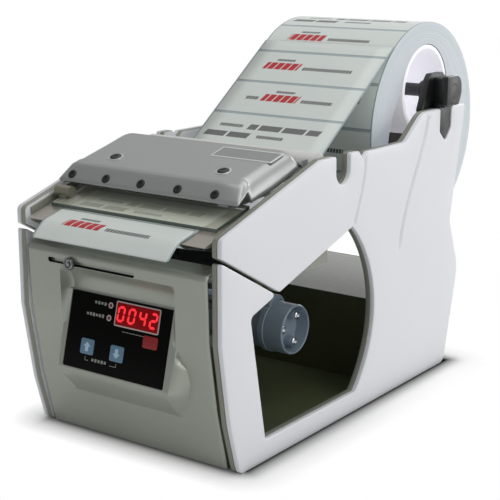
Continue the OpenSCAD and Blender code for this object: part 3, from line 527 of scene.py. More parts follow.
# %% [markdown]
# ## Side panels
# Each side is a thick moulded plate with a wavy outline, two notches that can hold the spool and
# two pressed lines. The right one has a big window for taking out the used backing paper. The
# rounded rim is a stack of rings, and the outer face is a triangulated field of points that sinks
# along the pressed lines and falls away gently near the edge, as a moulding does.

# %% Side panels
SLIT_Z, SLIT_DROP, SLIT_W = 175.8, 0.555, 3.2
SLIT_STEP = SLIT_W * math.hypot(1, SLIT_DROP)
WINDOW_Z0, WINDOW_RISE = 111.6, 0.302
TOP_LINE = [
    (358, 0, 8), (380.5, 92, 28), (360.5, 141, 15), (382.8, 249.5, 3),
    (355.5, 249.5, 2), (355.5, 230.5, 3), (344.5, 218.5, 4), (333.5, 228.5, 3), (333.5, 249.8, 2.5),
    (301, 249.5, 20), (270, 226.8, 12), (204.3, 227.2, 2), (197, 222, 1), (190, 229.5, 3),
    (177, 229.5, 2.5), (177, 205, 10.9), (155, 205, 10.9), (155, 229.5, 2.5),
    (133, 229.5, 8), (0, 189.5, 5), (0, SLIT_Z, 1.5),
]
FOOT_LINE = [(0, 108, 30), (11, 42, 60), (23, 0, 6)]
WINDOW_CURVE = bezier((182.6, 166.75), (214.9, 139.6), (245.7, 79.2), (193, 18), 28)
SHORT_GROOVE = bezier((201, 226), (201, 205), (190, 185), (183, 163), 16)
LONG_GROOVE = bezier((312, 249.5), (298.7, 207), (269.3, 174.8), (262, 132), 24)


def slit(y, low=0.0):
    return SLIT_Z - SLIT_DROP * y - low


def panel_outline(window):
    """The window is part of the outline, because the slit opens it to the front edge."""
    if not window:
        end = [(71, slit(71), 0), (71, slit(71, SLIT_STEP), 0), (0, SLIT_Z - SLIT_STEP, 1.5)]
        return rounded(TOP_LINE + end + FOOT_LINE)
    meet = (SLIT_Z - WINDOW_Z0) / (WINDOW_RISE + SLIT_DROP)
    low = (SLIT_Z - SLIT_STEP - WINDOW_Z0) / (WINDOW_RISE + SLIT_DROP)
    inner = [(meet, slit(meet), 4)] + [(*p, 0) for p in WINDOW_CURVE] + [
        (56.5, 18, 4), (36.3, WINDOW_Z0 + WINDOW_RISE * 36.3, 5),
        (low, slit(low, SLIT_STEP), 2.5), (0, SLIT_Z - SLIT_STEP, 1.5)]
    return rounded(TOP_LINE + inner + FOOT_LINE)


def press(points, edge):
    """Depth below the outer face: two valleys, and a soft fall towards the edge."""
    d1, d2 = distance(points, SHORT_GROOVE), distance(points, LONG_GROOVE)
    fade = np.clip((points[:, 1] - 130) / 12, 0, 1)
    valley = 2.2 * np.exp(-(d1 / 1.2) ** 2) + fade * 3.2 * np.exp(-(d2 / 1.5) ** 2)
    pillow = 0.9 * np.exp(-np.clip(edge, 0, None) / 7)
    return valley + pillow


def side_panel(name, window, mirror):
    o = anticlockwise(panel_outline(window))
    rim, steps = 1.4, 4
    rings = []
    for t in np.linspace(0, math.pi / 2, steps + 1):
        p = inset(o, rim * (1 - math.cos(t)))
        sink = press(p, distance(p, o, True)) * math.sin(t)
        rings.append(np.column_stack([OUTER_X - rim * (1 - math.sin(t)) - sink, p]))
    edge_ring = rings[-1][:, 1:]
    gy, gz = np.meshgrid(np.arange(2, 384, 4.0), np.arange(2, 250, 4.0), indexing="ij")
    field = np.column_stack([gy.ravel() + 0.07 * gz.ravel() % 1.3, gz.ravel()])
    field = field[inside(field, edge_ring)]
    field = field[distance(field, edge_ring, True) > 2.2]
    field = field[(distance(field, SHORT_GROOVE) > 4.2) & (distance(field, LONG_GROOVE) > 4.4)]
    along = []
    for groove in (SHORT_GROOVE, LONG_GROOVE):
        d = np.gradient(groove, axis=0)
        d /= np.linalg.norm(d, axis=1)[:, None]
        n = np.column_stack([-d[:, 1], d[:, 0]])
        for k in (-3.8, -2.8, -2.0, -1.4, -0.9, -0.4, 0, 0.4, 0.9, 1.4, 2.0, 2.8, 3.8):
            along.append(groove + n * k)
    along = np.concatenate(along)
    along = along[inside(along, edge_ring)]
    along = along[distance(along, edge_ring, True) > 0.8]
    v, f = fill(edge_ring, np.concatenate([field, along]))
    face = np.column_stack([OUTER_X - press(v, distance(v, o, True)), v])
    seam = [(0, 0.5), (0.5, 0), (4.2, 0), (4.4, 0.9), (5.2, 0.9), (5.4, 0)]
    wall = [np.column_stack([np.full(len(o), INNER_X + dx), inset(o, k)]) for dx, k in seam]
    grid = np.stack(wall + rings)
    bv, bf = fill(wall[0][:, 1:])
    verts, faces = merge((grid.reshape(-1, 3), grid_faces(len(grid), len(o), wrap_v=True)), (face, f),
                         (np.column_stack([np.full(len(bv), INNER_X), bv]), bf))
    verts[:, 0] *= mirror
    obj = make(name.replace("side_panel", "moulded_side"), verts, faces, "housing", "side_paint", [name])
    sharpen(obj, 60)
    dress(obj, "side").data.materials.append(FINISH["liner"])
    for poly in obj.data.polygons:
        x = abs(poly.center.x) / MM
        poly.material_index = int(INNER_X + 0.1 < x < INNER_X + 4.3)
    print(obj.name, len(obj.data.polygons), "faces")
    return obj


side_panel("right_side_panel", True, 1)
side_panel("left_side_panel", False, -1)

# %% [markdown]
# ## Front panel with its console
# The front is one sheet that leans back below the knee and turns over at the top. The keypad sits
# in a console: it is sunk at the top, under a cove, and stands proud at the bottom like a nose with
# a scooped leaf on its right. All of that is one height field, y over x and z. For each height, LIP
# and SCOOP say how far from the middle the console's flat part ends and where the sheet begins.

# %% Front panel
FRONT = rounded([(30, 168, 0), (13, 165, 2), (-2.4, 160, 5), (0, 108, 30), (9.5, 50, 60),
                 (22, 2, 0), (60, 2, 0)], 10)
FRONT = FRONT[(FRONT[:, 0] < 13.5)]
TILT = math.radians(14.3)
PAD_Y, PAD_Z, PAD_W, PAD_H = -6.8, 66.4, 104.0, 62.0


def on_pad(u, w, d=0.0):
    """Keypad coordinates (across, up the slope, outwards) to the drawing."""
    u, w, d = np.broadcast_arrays(np.asarray(u, float), w, d)
    y = PAD_Y + w * math.sin(TILT) - d * math.cos(TILT)
    z = PAD_Z + w * math.cos(TILT) + d * math.sin(TILT)
    return np.stack([u, y, z], -1)


def front_line(step):
    """The side profile, walked from the toe up to the top deck at an even step."""
    p = np.concatenate([[(22.0, 2.0)], FRONT[::-1][(FRONT[::-1][:, 0] < 22)]])
    s = walked(p)
    t = np.arange(0, s[-1] + step, step)
    return np.column_stack([np.interp(t, s, p[:, 0]), np.interp(t, s, p[:, 1])])


profile = front_line(1.0)
cove = bezier((10.6, 127.6), (10.6, 139), (5.0, 144), (-1.7, 148.5), 20)
nose = np.array([(12.3, 39.5), (10.6, 41.4), (-2.6, 56.4), (-5.4, 59.8), (-6.8, 62.4), (-7.25, 64.4),
                 (-6.9, 66.2)])
seat = on_pad(0, np.array([0, 62.5]), -1.6)[:, 1:]
console = np.concatenate([nose, [(-6.75, 66.5), (-5.2, 66.7)], seat[1:], cove])
LIP = {1: ([39.5, 41, 43, 51, 58.5, 66, 87, 98.9, 102, 150],
           [57.2, 54.5, 53.4, 54.6, 56.3, 58, 59.3, 59.3, 52.8, 52.8]),
       -1: ([39.5, 41, 43, 51, 58.5, 66, 87, 98.9, 102, 150],
            [57.2, 54.5, 53.8, 54.6, 55.7, 56.5, 57.2, 57.2, 52.8, 52.8])}
SCOOP = {1: ([39.5, 52.6, 61.8, 70.7, 83, 87.7, 92, 98.9, 101, 150],
             [57.8, 64.5, 67.5, 69.5, 67.5, 62.9, 60.3, 60, 60, 61]),
         -1: ([39.5, 43, 58.5, 87, 98.9, 101, 150], [58, 56.5, 58.2, 59.4, 58.6, 57.4, 56.6])}
pad_part = 52.2 * np.concatenate([np.linspace(0, 0.94, 8), [0.985, 1.0]])
ramp = np.array([0, 0.06, 0.14, 0.3, 0.5, 0.7, 0.86, 0.94, 1.0])
outer = np.array([0.01, 0.03, 0.08, 0.2, 0.4, 0.6, 0.8, 0.92, 1.0])
ends = np.array([89.6, 90.4, 91.0, 91.4, 91.5])
rim_line = np.concatenate([nose[:-1], on_pad(0, np.array([0, 62.5]), 0)[:, 1:], cove])
halves, depths = [], []
for s in (-1, 1):
    lip, scoop = (np.interp(profile[:, 1], *table[s])[:, None] for table in (LIP, SCOOP))
    one = np.ones_like(lip)
    half = [pad_part * one, 52.3 * one, 52.3 + (lip - 52.3) * 0.5, lip + (scoop - lip) * ramp,
            scoop + (89.0 - scoop) * outer, one * ends]
    half = np.concatenate(half, 1)
    t = np.clip((half - lip) / np.maximum(scoop - lip, 0.6), 0, 1)
    t = t - 0.16 * np.sin(math.pi * t)
    y_panel, z = profile[:, :1], profile[:, 1:]
    y_in = np.where(half < 52.25, np.interp(z, console[:, 1], console[:, 0]),
                    np.interp(z, rim_line[:, 1], rim_line[:, 0]))
    inside_console = (z > 39.5) & (z < 148.5)
    depth = np.where(inside_console, y_in + (y_panel - y_in) * t, y_panel * one)
    halves.append(half)
    depths.append(depth)
X = np.concatenate([-halves[0][:, :0:-1], halves[1]], 1).T
Y = np.concatenate([depths[0][:, :0:-1], depths[1]], 1).T
Z = np.broadcast_to(profile[:, 1], X.shape)
turn = np.clip((np.abs(X) - 89.0) / 2.6, 0, 1)
Y = Y + 2.2 * (1 - np.sqrt(1 - turn ** 2))
front = np.stack([X, Y, Z], -1)
shell = make("console_front", front.reshape(-1, 3), grid_faces(*X.shape), "housing", "front_paint",
             ["front_panel"], solid=False)
thicken(shell, 2.6, -1)
if np.mean([p.normal.y for p in shell.data.polygons]) > 0:
    shell.data.flip_normals()
dress(shell, "front")
print("front faces", len(shell.data.polygons))


# %% [markdown]
# The sensor slides in a slot with round ends under the top edge, and the slot is cut from the sheet.

# %% Sensor slot
SLOT_X0, SLOT_X1, SLOT_Z, SLOT_H = -68.7, 21.9, 151.0, 4.2


def capsule(x0, x1, z, h, y0, y1, n=12):
    """A bar along Y whose section is a slot with round ends."""
    a = np.linspace(-math.pi / 2, math.pi / 2, n)
    right = np.column_stack([x1 - h / 2 + h / 2 * np.cos(a), z + h / 2 * np.sin(a)])
    left = np.column_stack([x0 + h / 2 - h / 2 * np.cos(a), z - h / 2 * np.sin(a)])
    ring = np.concatenate([right, left])
    m = len(ring)
    v = [np.column_stack([ring[:, 0], np.full(m, y), ring[:, 1]]) for y in (y0, y1)]
    return np.concatenate(v), prism_faces(m)


def cut(obj, verts, faces):
    """Subtracts a closed mesh with the exact Boolean, and applies the result."""
    tool = make("cutter", verts, faces, "housing", "front_paint")
    m = obj.modifiers.new("cut", "BOOLEAN")
    m.object = tool
    m.solver = "EXACT"
    bpy.context.view_layer.update()
    mesh = bpy.data.meshes.new_from_object(obj.evaluated_get(bpy.context.evaluated_depsgraph_get()))
    obj.modifiers.clear()
    obj.data = mesh
    bpy.data.objects.remove(tool)
    return obj


cut(shell, *capsule(SLOT_X0, SLOT_X1, SLOT_Z, SLOT_H, -12, 12))
shell.data.shade_smooth()
sharpen(shell, 24)
dress(shell, "front").data.materials.append(FINISH["soft black"])
for poly in shell.data.polygons:
    x, y, z = poly.center
    in_slot = abs(z - SLOT_Z * MM) < SLOT_H / 2 * MM + 1e-5 and abs(poly.normal.y) < 0.5
    poly.material_index = int(in_slot and (SLOT_X0 - 1) * MM < x < (SLOT_X1 + 1) * MM)

# %% Knurled knob of the sensor
def knurled(x, z, rings, teeth=15, n=90):
    """Rings (r, y) round an axis along Y; the radius swells by the ring's share of cos(teeth t)."""
    t = np.linspace(0, 2 * math.pi, n, endpoint=False)
    g = []
    for r, y, share in rings:
        rr = r + share * np.cos(teeth * t)
        g.append(np.stack([x + rr * np.cos(t), np.full(n, y), z + rr * np.sin(t)], -1))
    return np.concatenate(g), grid_faces(len(rings), n, wrap_v=True)


KNOB_X = -43.6
face_y = float(np.interp(SLOT_Z, profile[:, 1], profile[:, 0]))
knob_rings = [(0.01, 0.2, 0), (2.0, 0.2, 0), (2.0, -1.0, 0), (4.2, -1.0, 0.2), (4.9, -1.5, 0.35),
              (4.9, -3.2, 0.35), (4.3, -4.0, 0.2), (3.5, -4.1, 0), (3.1, -3.2, 0),
              (1.9, -3.0, 0), (1.6, -4.2, 0), (0.01, -4.4, 0)]
knob = make("sensor_thumb_knob", *knurled(KNOB_X, SLOT_Z, [(r, face_y + y, k) for r, y, k in knob_rings]),
            "sensor", "bright", ["sensor_knob"])
dress(sharpen(knob, 30), "knob")

# %% [markdown]
# ## Cover
# The cover is a shallow pressed tray. Its rim is a rounded rectangle, and so is the flat top, only
# smaller, so the skin between them is a loft: each ring mixes the two, first standing almost
# upright and then turning over. The metal is cut away at both front corners, where the front
# flange and the flared side skirts would meet.

# %% Cover
def corner_ring(half, y0, y1, r0, r1, front_x, side_y, n=44, m=40):
    """A rounded rectangle in (x, y), anticlockwise from the front's middle: two front corners of
    radius r0 that reach to front_x and side_y, two rear ones of radius r1."""
    q = np.linspace(0, math.pi / 2, 12)
    a = np.linspace(0, math.pi / 2, 30)
    bend = np.column_stack([half - r0 + r0 * np.sin(a), y0 + r0 - r0 * np.cos(a)])
    line = np.concatenate([[(front_x, y0)], bend, [(half, side_y)]])
    at = walked(line)
    t = np.linspace(0, at[-1], n)
    corner = np.column_stack([np.interp(t, at, line[:, 0]), np.interp(t, at, line[:, 1])])
    right = np.concatenate([
        np.column_stack([np.linspace(0, front_x, m // 2)[:-1], np.full(m // 2 - 1, y0)]),
        corner,
        np.column_stack([np.full(m - 2, half), np.linspace(side_y, y1 - r1, m)[1:-1]]),
        np.column_stack([half - r1 + r1 * np.cos(q), y1 - r1 + r1 * np.sin(q)]),
        np.column_stack([np.linspace(half - r1, 0, m // 2)[1:], np.full(m // 2 - 1, y1)]),
    ])
    left = right[1:-1][::-1] * (-1, 1)
    return np.concatenate([right, left])


def lid_z(y):
    """Height of the cover's flat top, which climbs by a quarter of the way back."""
    return 220.25 + (y - 46) * 0.25


MIDDLE, EAVE = -1.0, 92.4
low = corner_ring(EAVE, 37.2, 121.8, 2.5, 4, 67.5, 63)
high = corner_ring(82.5, 48.0, 115.5, 14.9, 5, 67.5, 63)
sideways = np.clip((np.abs(low[:, 0]) - 88) / 4, 0, 1) * np.clip((low[:, 1] - 40) / 12, 0, 1)
drop = 4.0 * sideways * np.clip((116 - low[:, 1]) / 25, 0, 1)
low_z = 207.1 + (low[:, 1] - 37) * 0.206 - drop
high_z = lid_z(high[:, 1])
notch = np.interp(low[:, 1], [37.2, 43, 47, 50.8, 54, 58.5], [207.1, 209.8, 212.6, 215.6, 211.6, 0])
side = np.abs(low[:, 0]) > EAVE - 2.4
rise = np.clip((notch - low_z) / (high_z - low_z), 0, 0.75) * side
FRONT_LEVELS = [(0, 0), (0.2, 0.2), (0.4, 0.4), (0.6, 0.6), (0.76, 0.76), (0.87, 0.865), (0.95, 0.93),
                (1.02, 0.97), (1.10, 0.992), (1.2, 1.0)]
SIDE_LEVELS = [(0, 0), (0.08, 0.2), (0.17, 0.4), (0.27, 0.56), (0.34, 0.66), (0.46, 0.76), (0.66, 0.86),
               (0.90, 0.94), (1.12, 0.985), (1.4, 1.0)]
lift = rise * 0.3
rings = []
for (s0, h0), (s1, h1) in zip(FRONT_LEVELS, SIDE_LEVELS):
    h = h0 + (h1 - h0) * sideways
    ring = low.copy()
    ring[:, 0] += (high - low)[:, 0] * (lift + (1 - lift) * s1)
    ring[:, 1] += (high - low)[:, 1] * (lift + (1 - lift) * s0)
    up = np.where(h >= 1, 1.0, rise + (1 - rise) * h)
    rings.append(np.column_stack([ring, low_z + (high_z - low_z) * up]))
last = rings[-1][:, :2]
for k in (0.96, 0.9):
    ring = np.array([0, 81.0]) + (last - np.array([0, 81.0])) * k
    rings.append(np.column_stack([ring, lid_z(ring[:, 1])]))
rings[-3][:, 2] = lid_z(rings[-3][:, 1])
grid = np.stack(rings)
top_v, top_f = fill(rings[-1][:, :2])
top = np.column_stack([top_v, lid_z(top_v[:, 1])])
verts, faces = merge((grid.reshape(-1, 3), grid_faces(len(grid), len(low), wrap_v=True)), (top, top_f))
verts[:, 0] += MIDDLE
cover = make("pressed_cover", verts, faces, "cover", "cover_paint", ["top_cover"])
if np.mean([p.normal.z for p in cover.data.polygons]) < 0:
    cover.data.flip_normals()
thicken(cover, 1.8, -1)
dress(sharpen(cover, 42), "cover")
print("cover faces", len(cover.data.polygons))

# %% Cover screws and the plain plate
FLANGE = np.array([41.4, 212.2])
flange_dir = unit(np.array([48.0 - 37.2, 220.8 - 207.1]))
flange_out = np.array([-flange_dir[1], flange_dir[0]])


def disc(centre, u, v, w, rings):
    """Rings (r, h) round a centre: centre + r cos t u + r sin t v + h w, 28 points a ring."""
    t = np.linspace(0, 2 * math.pi, 28, endpoint=False)
    centre, u, v, w = (np.array(q, float) for q in (centre, u, v, w))
    g = np.stack([centre + r * (np.cos(t)[:, None] * u + np.sin(t)[:, None] * v) + h * w for r, h in rings])
    return g.reshape(-1, 3), grid_faces(len(rings), 28, wrap_v=True)


X_AXIS = (1, 0, 0)
FLANGE_HEAD = [(0.01, -0.6), (4.0, -0.6), (4.0, 0.3), (3.6, 0.75), (2.6, 0.95), (1.9, 0.9), (1.7, 0.25),
               (0.01, 0.2)]
LID_HEAD = [(0.01, -0.1), (5.0, -0.1), (5.0, 0.7), (4.4, 1.15), (2.2, 1.3), (1.9, 0.7), (0.01, 0.65)]
WASHER = [(6.6, -0.1), (6.6, 0.25), (6.0, 0.4), (4.4, 0.4), (4.4, -0.1)]
front_heads = [disc((x, *FLANGE), X_AXIS, (0, *flange_dir), (0, *flange_out), FLANGE_HEAD)
               for x in (-80.6, -43.7, -6.9, 30.4, 66.6)]
joined("flange_screw_heads", front_heads, "cover", "black_plastic", "soft black", ["cover_front_screws"])
tip = math.atan(0.25)
plane_v, plane_w = (0, math.cos(tip), math.sin(tip)), (0, -math.sin(tip), math.cos(tip))
spots = [(x, 67.0, lid_z(67.0)) for x in (-55.5, 55.5)]
top_heads, washers = ([disc(at, X_AXIS, plane_v, plane_w, shape) for at in spots]
                      for shape in (LID_HEAD, WASHER))
joined("lid_screw_heads", top_heads, "cover", "dark_paint", "soft black", ["cover_top_screws"])
joined("lid_screw_washers", washers, "cover", "dark_paint", "bright")


def box_outline(x0, x1, y0, y1, r, n=6):
    return rounded([(x0, y0, r), (x1, y0, r), (x1, y1, r), (x0, y1, r)], n)


def lid_slab(name, outline, lift, thick, finish, replaced=()):
    """An outline in (x, y) laid on the cover's flat top, with a small rounded edge."""
    o = anticlockwise(outline)
    rings = []
    for k, h in ((0, -0.1), (0, thick * 0.6), (thick * 0.4, thick), (0.9, thick)):
        p = inset(o, k)
        rings.append(np.column_stack([p, lid_z(p[:, 1]) + lift + h]))
    v, f = fill(rings[-1][:, :2])
    cap = np.column_stack([v, lid_z(v[:, 1]) + lift + thick])
    g = np.stack(rings)
    sides = (g.reshape(-1, 3), grid_faces(4, len(o), wrap_v=True))
    return joined(name, [sides, (cap, f)], "cover", "badge", finish, replaced)


lid_slab("plain_plate", box_outline(24.6, 84.4, 90, 109, 1.5), 0, 0.5, "bright rim", ["badge_plate"])
lid_slab("plain_plate_face", box_outline(26.2, 82.8, 91.6, 107.4, 1), 0.45, 0.12, "badge face")

# %% [markdown]
# ## Roll of labels
# The roll hangs loosely on its core: a tight ring of turns outside, slack turns inside, and an
# egg-shaped hollow below the core. Cut paper edges make the sides, so they get fine rings. The
# outer skin and the strip carry labels, laid out on a UV map in metres along the paper.

# %% Paper finishes
PITCH, LABEL, ROLL_W = 41.3, 38.6, 139.5
PHASE = 25.4
GUIDE_Y, GUIDE_Z, GUIDE_R = 152.0, 220.0, 11.5


def within(wire, low, high):
    return (wire > low) * (wire < high)


def paper_with_labels(name, phase=0.0):
    """Labels on backing paper: u runs across in metres, v along; a field marks each label."""
    p = Paint(name, Coat_Weight=0.1, Coat_Roughness=0.25)
    split = p.add("ShaderNodeSeparateXYZ", None, [p.add("ShaderNodeUVMap", {"uv_map": "UVMap"})])
    u = split * 1000
    along = split.out("Y") * 1000
    v = (along + phase) % PITCH
    edge = u.math("ABSOLUTE")
    gap = (v > LABEL) + (edge > ROLL_W / 2 - 1.6)
    shade = within(v, LABEL - 0.35, LABEL + 0.6)
    fibre = p.noise(0.8, 4, 0.6)
    clouds = p.noise(40, 3)
    white = p.blend(clouds, rgb(216, 224, 220), rgb(227, 233, 229))
    backing = p.blend(fibre, rgb(160, 174, 178), rgb(176, 188, 190))
    colour = p.blend(gap.math("MINIMUM", 1.0), white, backing)
    colour = p.blend(shade * 0.45, colour, rgb(112, 124, 128))
    row = ((along + phase) / PITCH).math("FLOOR") % 4
    first, second, third = row < 0.5, within(row, 0.5, 1.5), within(row, 1.5, 2.5)
    fourth = row > 2.5
    lean = u + (v - 18) * 0.28
    letters = ((lean + 60) % 7.6 < 6.4) * within(v, 13.5, 22.5)
    small = ((lean + 60) % 3.1 < 2.4) * 1.0
    red = letters * (first * within(lean, -47, -9) + second * within(lean, -50, -12)
                     + third * within(lean, -28, 10))
    head = small * within(v, 8.6, 11.4) * (first * within(lean, -40, -20) + second * within(lean, -43, -23)
                                           + third * within(lean, -20, 0))
    words = small * within(v, 17.6, 21.6) * (first * within(u, -4, 40) + second * within(u, -8, 44)
                                             + third * ((u > 14) + (u < -32)) * (edge < 46))
    boxes = fourth * ((lean + 60) % 25 < 22.5) * (within(v, 11, 17.5) * within(lean, -22, 53)
                                                  + within(v, 22, 28.5) * within(lean, -60, -10))
    tail = fourth * small * (within(v, 12.4, 16) * within(u, -52, -27)
                             + within(v, 23.4, 27) * within(u, -6, 22))
    dark = (head + words + tail).math("MINIMUM", 1.0)
    colour = p.blend(red.math("MINIMUM", 1.0), colour, rgb(188, 26, 40))
    colour = p.blend(dark * 0.9, colour, rgb(44, 46, 48))
    colour = p.blend(boxes.math("MINIMUM", 1.0) * 0.85, colour, rgb(66, 68, 70))
    p.into(Base_Color=colour, Roughness=0.38 + 0.1 * fibre)
    p.into(Normal=p.bump(fibre * 0.25 - gap * 1.0, 0.05))
    return p.material


def strip_ends():
    """The straight span's ends: tangent point on the roll and on the guide roller, and its slope."""
    dy, dz = ROLL_Y - GUIDE_Y, ROLL_Z - GUIDE_Z
    slope = math.asin((ROLL_R + GUIDE_R + 1.0) / math.hypot(dy, dz)) + math.atan2(dz, dy)
    n = np.array([-math.sin(slope), math.cos(slope)])
    on_roll = np.array([ROLL_Y, ROLL_Z]) + (ROLL_R + 0.35) * n
    under_guide = np.array([GUIDE_Y, GUIDE_Z]) - (GUIDE_R + 0.6) * n
    return on_roll, under_guide, slope


def paper_edge(name, y, z, tint):
    """The cut side of a roll: rings of noise that depend on the radius alone, as layers do."""
    p = Paint(name)
    from_axis = {"Vector": p.where(), "Location": (0, -(y - SHIFT) * MM, -z * MM)}
    centre = p.add("ShaderNodeMapping", None, from_axis)
    flat = p.add("ShaderNodeVectorMath", {"operation": "MULTIPLY"}, [centre, (0, 1, 1)])
    radius = p.add("ShaderNodeVectorMath", {"operation": "LENGTH"}, [flat], out=1) * 1000
    turns, bands = (p.add("ShaderNodeTexNoise", {"noise_dimensions": "1D"},
                          {"W": radius, "Scale": scale, "Detail": detail})
                    for scale, detail in ((2.6, 5.0), (0.16, 2.0)))
    mixed = p.blend(turns * 0.55 + bands * 0.45, scaled(tint, 0.84), tint)
    p.into(Base_Color=mixed, Roughness=0.5 + 0.12 * turns)
    p.into(Normal=p.bump(turns, 0.12))
    return p.material


FINISH["labels"] = paper_with_labels("labels on backing paper", PHASE)
FINISH["free label"] = paper_with_labels("one free label")
# Painted shade: the slack turns' inner skin is paper coloured dark grey-brown, standing in for the shade in
# the hollow below the core.
FINISH["inner turn"] = coated("painted shade inside the slack turns", rgb(92, 88, 84), 0.1, 0.6, 0.5, 0.02, cloud=20)
FINISH["edge"] = paper_edge("cut paper edge", ROLL_Y, ROLL_Z, rgb(216, 224, 229))
FINISH["loose"] = paper_edge("loose paper edge", 344.5, 250, rgb(218, 225, 231))

# %% Outer ring of the roll
ROLL_X = 11.5
TIGHT_R = ROLL_R - 12
rng = np.random.default_rng(7)
OFF_ROLL, ON_GUIDE, TANGENT = strip_ends()


def layered_ring(name, inner, outer, n, body, replaced, finish):
    """Rings of points from the inner to the outer outline on both sides; x steps in and out by a
    fraction of a millimetre from ring to ring, like paper that isn't wound quite true."""
    k = np.linspace(0, 1, n)[:, None, None]
    flat = inner + (outer - inner) * k
    wobble = rng.normal(0, 0.10, n)
    wobble = wobble - wobble.max()
    wobble[0] = wobble[-1] = -0.12
    sides = []
    for s in (-1, 1):
        x = ROLL_X + s * (ROLL_W / 2 + wobble)
        sides.append(np.concatenate([np.broadcast_to(x[:, None, None], (*flat.shape[:2], 1)), flat], -1))
    grid = np.concatenate([sides[0], sides[1][::-1]])
    m = flat.shape[1]
    faces = grid_faces(len(grid), m, wrap_u=True, wrap_v=True)
    a = np.linspace(0, 2 * math.pi, m, endpoint=False)
    a = (a - TANGENT - math.pi / 2) % (2 * math.pi) - 2 * math.pi
    uv = np.zeros((len(grid), m, 2))
    uv[..., 0] = (grid[..., 0] - ROLL_X) * MM
    uv[..., 1] = a * ROLL_R * MM
    obj = make(name, grid.reshape(-1, 3), faces, body, "paper", replaced, uv=uv.reshape(-1, 2), solid=False)
    if obj.data.polygons[0].normal.x > 0:
        obj.data.flip_normals()
    sharpen(obj, 40)
    obj.data.materials.append(FINISH[finish])
    # Outer turns carry labels; the slack turns' inner skin gets the paper with painted shade.
    obj.data.materials.append(FINISH["labels"] if body == "roll" else FINISH["inner turn"])
    normals = np.zeros(len(obj.data.polygons) * 3)
    obj.data.polygons.foreach_get("normal", normals)
    skin = np.abs(normals.reshape(-1, 3)[:, 0]) < 0.5
    obj.data.polygons.foreach_set("material_index", skin.astype(np.int32))
    obj.data.update()
    return obj


SIDES = 160
ring_a = np.linspace(0, 2 * math.pi, SIDES, endpoint=False)
circle = np.column_stack([np.cos(ring_a), np.sin(ring_a)])
centre = np.array([ROLL_Y, ROLL_Z])
layered_ring("outer_turns", centre + TIGHT_R * circle, centre + ROLL_R * circle, 16, "roll",
             ["label_roll"], "edge")

# %% Slack turns with the egg-shaped hollow
CORE_Y, CORE_Z, CORE_R = 344.5, 264.0, 42.0
HOLE_Z, HOLE_R = ROLL_Z - 14.4, 66.0


def egg(a, core_r, hole_r):
    """Radius from the roll's centre to the hull of the core's circle and the hollow's circle."""
    t = np.linspace(0, 2 * math.pi, 720, endpoint=False)
    both = np.concatenate([np.column_stack([CORE_Y + core_r * np.cos(t), CORE_Z + core_r * np.sin(t)]),
                           np.column_stack([ROLL_Y + hole_r * np.cos(t), HOLE_Z + hole_r * np.sin(t)])])
    d = np.column_stack([np.cos(a), np.sin(a)])
    v = np.stack([-d[:, 1], d[:, 0]], -1)
    lean = math.asin((hole_r - core_r) / abs(HOLE_Z - CORE_Z))
    for s in (-1, 1):
        n = np.array([s * math.cos(lean), -math.sin(lean)])
        both = np.concatenate([both, np.linspace(np.array([CORE_Y, CORE_Z]) + n * core_r,
                                                 np.array([ROLL_Y, HOLE_Z]) + n * hole_r, 60)])
    rel = both - centre
    along = rel @ d.T
    off = np.abs(rel @ v.T)
    return np.where((off < 1.2) & (along > 0), along, 0).max(0)


hole = egg(ring_a, CORE_R + 0.5, HOLE_R + 0.4)
kernel = np.array([1, 2, 3, 2, 1]) / 9
hole = sum(w * np.roll(hole, s) for w, s in zip(kernel, range(-2, 3)))
layered_ring("slack_turns", centre + hole[:, None] * circle, centre + (TIGHT_R - 0.05) * circle, 16,
             "housing", ["loose_turns"], "loose")
print("roll rings of", SIDES, "points")

# %% Core
CORE_X0, CORE_X1 = ROLL_X - 69.6, ROLL_X + 69.6
tube = [(CORE_X0, 38.1), (CORE_X0, 41.9), (CORE_X1, 41.9), (CORE_X1, 38.1)]
dress(turned("paper_core", tube, CORE_Y, CORE_Z, "core", "paper", ["roll_core"], 0.5, 96, close=True), "core")

# %% [markdown]
# ## Paper strip and the free label
# The strip leaves the roll along a tangent, dips under the ivory roller and runs over the beige
# plate to its front edge. There it turns back sharply, but the stiff label can't follow, so it
# comes off and hangs over the edge.

# %% Strip
PAPER_T = 0.2
PEEL_Y, PEEL_Z, PEEL_K = -2.0, 182.5, math.tan(math.radians(14))


def peel_at(y):
    return PEEL_Z + (y - PEEL_Y) * PEEL_K


def ribbon(path, mid, half, n=9):
    """Points across a path: x = mid + half * k, with k from -1 to 1; v of the UV is the path length."""
    path = np.asarray(path, float)
    k = np.linspace(-1, 1, n)
    x = mid[:, None] + half * k
    yz = np.repeat(path[:, None], n, 1)
    uv = np.stack([np.broadcast_to(half * k * MM, x.shape), np.repeat(walked(path)[:, None], n, 1) * MM], -1)
    return np.concatenate([x[..., None], yz], -1), uv


plate_end = np.array([PEEL_Y + 64, peel_at(PEEL_Y + 64) + 0.5])
leave = math.atan2(GUIDE_Z - GUIDE_R - 0.6 - plate_end[1], GUIDE_Y - plate_end[0])
arc = np.linspace(TANGENT, leave, 10)
turn_in = np.array([GUIDE_Y, GUIDE_Z]) - (GUIDE_R + 0.6) * np.column_stack([-np.sin(arc), np.cos(arc)])
start = np.linspace(OFF_ROLL, ON_GUIDE, 24)
rear = np.linspace(turn_in[-1], plate_end, 10)[1:]
over = np.linspace(plate_end, (PEEL_Y - 0.5, PEEL_Z + 0.45), 12)[1:]
back = np.array([(PEEL_Y - 1.2, PEEL_Z - 0.2), (PEEL_Y - 1.0, PEEL_Z - 1.1), (PEEL_Y + 4, PEEL_Z - 4.6),
                 (66, 161.5), (92, 161.5)])
path = np.concatenate([start, turn_in[1:], rear, over, back])
mid = -1.6 + 0.04367 * np.minimum(path[:, 0], 300)
grid, uv = ribbon(path, mid, ROLL_W / 2)
strip = make("label_strip", grid.reshape(-1, 3), grid_faces(*grid.shape[:2]), "housing", "paper",
             ["label_web"], solid=False, uv=uv.reshape(-1, 2))
dress(strip, "labels")
thicken(strip, PAPER_T, 0)
